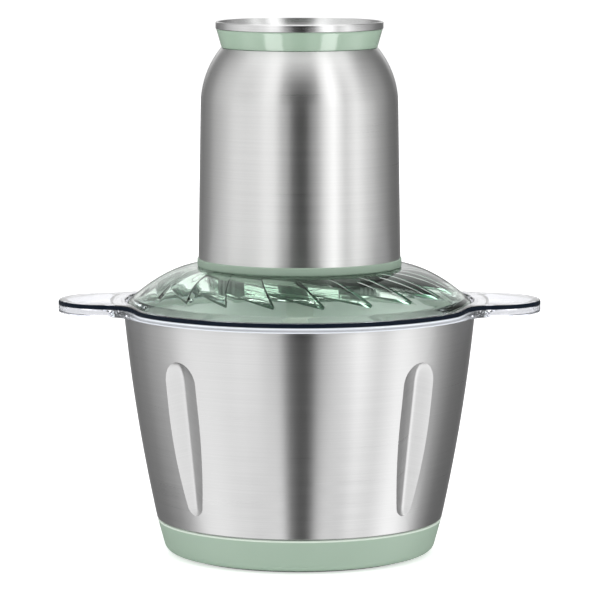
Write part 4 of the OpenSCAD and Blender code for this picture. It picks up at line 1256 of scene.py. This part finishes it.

# %% [markdown]
# The green of the lid lies in its mass. A refracting surface in the render takes its tint where
# light goes in and out, and the steep steps of the teeth are painted a deep green by the way they
# face: painted shade, for the dark lines that the steps make as they bend the light. The reflection
# is tinted too, because the bright lamp overhead would otherwise veil the dome in grey.

# %% Green lid's plastic
def painted_shade_green(name, colour, dark, edge):
    """Clear green plastic with painted shade on the steep faces of the teeth and the saw's edge."""
    finish = clear_finish(name, colour, Specular_Tint=(0.25, 0.6, 0.36, 1))
    between = finish.between
    x, y = finish.split(finish.place)[:2]
    nx, ny = finish.split(finish.facing)[:2]
    out = (x * x + y * y) ** 0.5
    one_over = (out + 0.0001) ** -1.0
    along = (x * ny - y * nx) * one_over
    outwards = (x * nx + y * ny) * one_over
    # Painted shade: the steep faces of the teeth, found by the way they face round the axis.
    steep = between(along * along, 0.1, 0.4)
    within = 1 - between(out, (TOOTH_OUT_R[1] + 1) * MM, (TOOTH_OUT_R[1] + 2) * MM)
    beyond = between(out, (TOOTH_IN_R + 6) * MM, (TOOTH_IN_R + 8) * MM)
    # Painted shade: the saw's outer edge, where the teeth end, takes the darker edge colour.
    rim = between(outwards * outwards, 0.6, 0.8) * within * beyond
    finish.shade(steep, finish.mix(rim, colour, edge), dark)
    return finish.material


# The dark and edge colours are painted shade.
finishes["clear_green_plastic"] = painted_shade_green("clear green plastic", (0.85, 0.945, 0.88),
                                            (0.003, 0.03, 0.012), (0.2, 0.45, 0.3))
print("green lid ready")

# %% [markdown]
# Every node that shows keeps the slot that the record gives it, and takes the finish of that
# slot. The new pieces say their slot themselves. Three have a finish of their own: the glossy
# collar, the base with the painted highlight on its top edge, and the bowl's inside, which was
# never brushed.

# %% Give every piece its finish
def paint(piece, slot):
    piece.data.materials.clear()
    piece.data.materials.append(finishes[slot])


for part in frame["record"]["subparts"]:
    paint(frame["nodes"][part["node"]], part["material_slot"])
for piece in list(bpy.context.scene.objects):
    if piece.type == "MESH" and "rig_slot" in piece:
        paint(piece, piece["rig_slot"])
collar.data.materials[0] = glossy_green
base_cover.data.materials[0] = painted_highlight_green
bowl.data.materials.append(satin_inside)
for face in bowl.data.polygons:
    x, y, z = face.center / MM
    leans_in = x * face.normal.x + y * face.normal.y < -0.01 * FOOT_R
    within = math.hypot(x, y) < bowl_radius(z) - SHEET / 2
    if leans_in or (face.normal.z > 0.5 and z < RIM_Z - 2 and within):
        face.material_index = 1

# %% [markdown]
# A product photographer lights steel with white walls and leaves black gaps between them. The
# room here is a sky that depends on the direction alone. Level with the object stands a ring of
# soft walls, dark straight ahead of the camera and behind the object, and a second ring lies
# lower, where the bowl's leaning wall looks. A soft lamp hangs overhead, and behind the object
# a pale backdrop closes the ring for the reflections. The camera itself sees plain white, and so
# does every ray that has come through clear plastic. Light that has passed the lid's two skins
# twice, down into the bowl and back out, is raised, so that the lid stays bright over the bowl.

# %% Studio
WALLS = [
    (-180, 0.31), (-155, 0.19), (-130, 0.40), (-115, 0.74), (-100, 0.93), (-85, 1.03), (-65, 0.95),
    (-50, 1.15), (-40, 1.46), (-30, 1.38), (-20, 0.43), (-10, 0.07), (0, 0), (10, 0.02), (20, 0.23),
    (30, 1.36), (40, 2.1), (55, 0.93), (70, 1.36), (85, 0.80), (100, 0.58), (115, 0.46),
    (130, 0.27), (155, 0.15), (180, 0.31)
]
LOW_WALLS = [
    (-180, 0.05), (-150, 0.06), (-130, 0.02), (-115, 0.07), (-100, 0.77), (-85, 1.96), (-70, 1.85),
    (-50, 1.16), (-35, 0.96), (-22, 1.75), (-15, 1.9), (-8, 0.34), (0, 0.15), (8, 0.13), (15, 1.38),
    (22, 1.82), (35, 0.80), (50, 1.04), (70, 1.58), (85, 2.35), (100, 2.15), (115, 0.66),
    (130, 0.13), (150, 0.08), (180, 0.06)
]
BACKDROP = [(-180, 1), (-165, 1), (-150, 0), (150, 0), (165, 1), (180, 1)]
WALL_TOP = 2.4
LOW_EDGE = (-0.42, -0.22)
LAMP_EDGE = (0.68, 0.85)
BACKDROP_EDGE = (0.02, 0.12)
LAMP = 1.7
WHITE = 1.1
THROUGH = 0.9


def studio():
    world = bpy.data.worlds.new("studio")
    bpy.context.scene.world = world
    world.use_nodes = True
    world.node_tree.nodes.clear()
    board = Board(world.node_tree)
    between = board.between
    x, y, z = board.split(board.add("ShaderNodeTexCoord").outputs["Generated"])
    turn = board.value(board.add("ShaderNodeMath", {"operation": "ARCTAN2"}, {0: x, 1: y * -1}))
    angle = turn * (1 / (2 * math.pi)) + 0.5

    def ring(walls):
        stops = [((a + 180) / 360, (v / WALL_TOP, v / WALL_TOP, v / WALL_TOP, 1)) for a, v in walls]
        ramp = board.add("ShaderNodeValToRGB", {"stops": stops}, {"Fac": angle})
        return board.value(ramp) * WALL_TOP

    level = between(z, *LOW_EDGE)
    walls = ring(WALLS) * level + ring(LOW_WALLS) * (1 - level)
    walls = walls * (1 - between(z * -1, 0.4, 0.5) * 0.2)
    lamp = between(z, *LAMP_EDGE)
    backdrop = ring(BACKDROP) * between(z, *BACKDROP_EDGE) * (1 - lamp) * 0.75
    room = walls * (1 - lamp) + lamp * LAMP + backdrop
    path = board.add("ShaderNodeLightPath")
    camera_ray = Value(board, path.outputs["Is Camera Ray"])
    through = Value(board, path.outputs["Is Transmission Ray"])
    from_bowl = between(Value(board, path.outputs["Transmission Depth"]), 2.5, 3.5)
    raised = from_bowl * (between(z, 0.05, 0.35) * 2.4 + 0.5)
    white = camera_ray * WHITE + through * (THROUGH + raised)
    total = white + room * (1 - camera_ray) * (1 - through)
    background = board.add("ShaderNodeBackground", None, {"Color": (1, 1, 1, 1), "Strength": total})
    output = board.add("ShaderNodeOutputWorld")
    board.feed(output.inputs["Surface"], background.outputs[0])


studio()
print("wall stops:", len(WALLS), len(LOW_WALLS))

# %% [markdown]
# The collar's polished skin has two upright glints. Two narrow soft lights make them. The
# collar flares, so its skin looks down, and each light stands 35 degrees below its level.

# %% Lights of the collar
STRIPS = ((-41, 0.22), (47, 0.2))
STRIP_DROP = math.radians(35)
STRIP_AWAY = 0.5


def collar_lights():
    """Two soft strips whose glint on the collar is two upright bands; they light nothing else."""
    receivers = bpy.data.collections.new("collar only")
    receivers.objects.link(collar)
    for azimuth, width in STRIPS:
        data = bpy.data.lights.new("strip", "AREA")
        data.shape = "RECTANGLE"
        data.size = width
        data.size_y = 0.3
        data.energy = 1.3
        strip = bpy.data.objects.new("strip", data)
        a = math.radians(azimuth)
        aim = Vector((math.sin(a) * math.cos(STRIP_DROP), -math.cos(a) * math.cos(STRIP_DROP),
                      -math.sin(STRIP_DROP)))
        start = Vector((math.sin(a / 2) * 0.046, -math.cos(a / 2) * 0.046, 0.296))
        strip.location = start + aim * STRIP_AWAY
        strip.rotation_euler = (start - strip.location).to_track_quat("-Z", "Y").to_euler()
        strip.visible_diffuse = False
        strip.visible_camera = False
        strip.light_linking.receiver_collection = receivers
        bpy.context.scene.collection.objects.link(strip)


collar_lights()
print("lights:", len(STRIPS))

# %% [markdown]
# The floor is plain and pale. It shows to the camera and catches the soft shadow, but the
# steel's mirrors and the clear plastic don't see it, so neither turns grey from below. Colours
# are shown as they are, with the Standard view, because white has to stay white.

# %% Floor
def make_floor():
    clear()
    just_under = (0, 0, -0.0002)
    bpy.ops.mesh.primitive_circle_add(vertices=96, radius=4, fill_type="NGON", location=just_under)
    floor = bpy.context.object
    floor.name = "floor"
    finish = Finish("pale floor", (0.85, 0.85, 0.85), Roughness=0.9, Emission_Color=(1, 1, 1, 1),
                    Emission_Strength=0.5)
    floor.data.materials.append(finish.material)
    floor.visible_glossy = False
    floor.visible_transmission = False
    return floor


floor = make_floor()
bpy.context.scene.view_settings.view_transform = "Standard"
print("floor:", floor.name)

# %% [markdown]
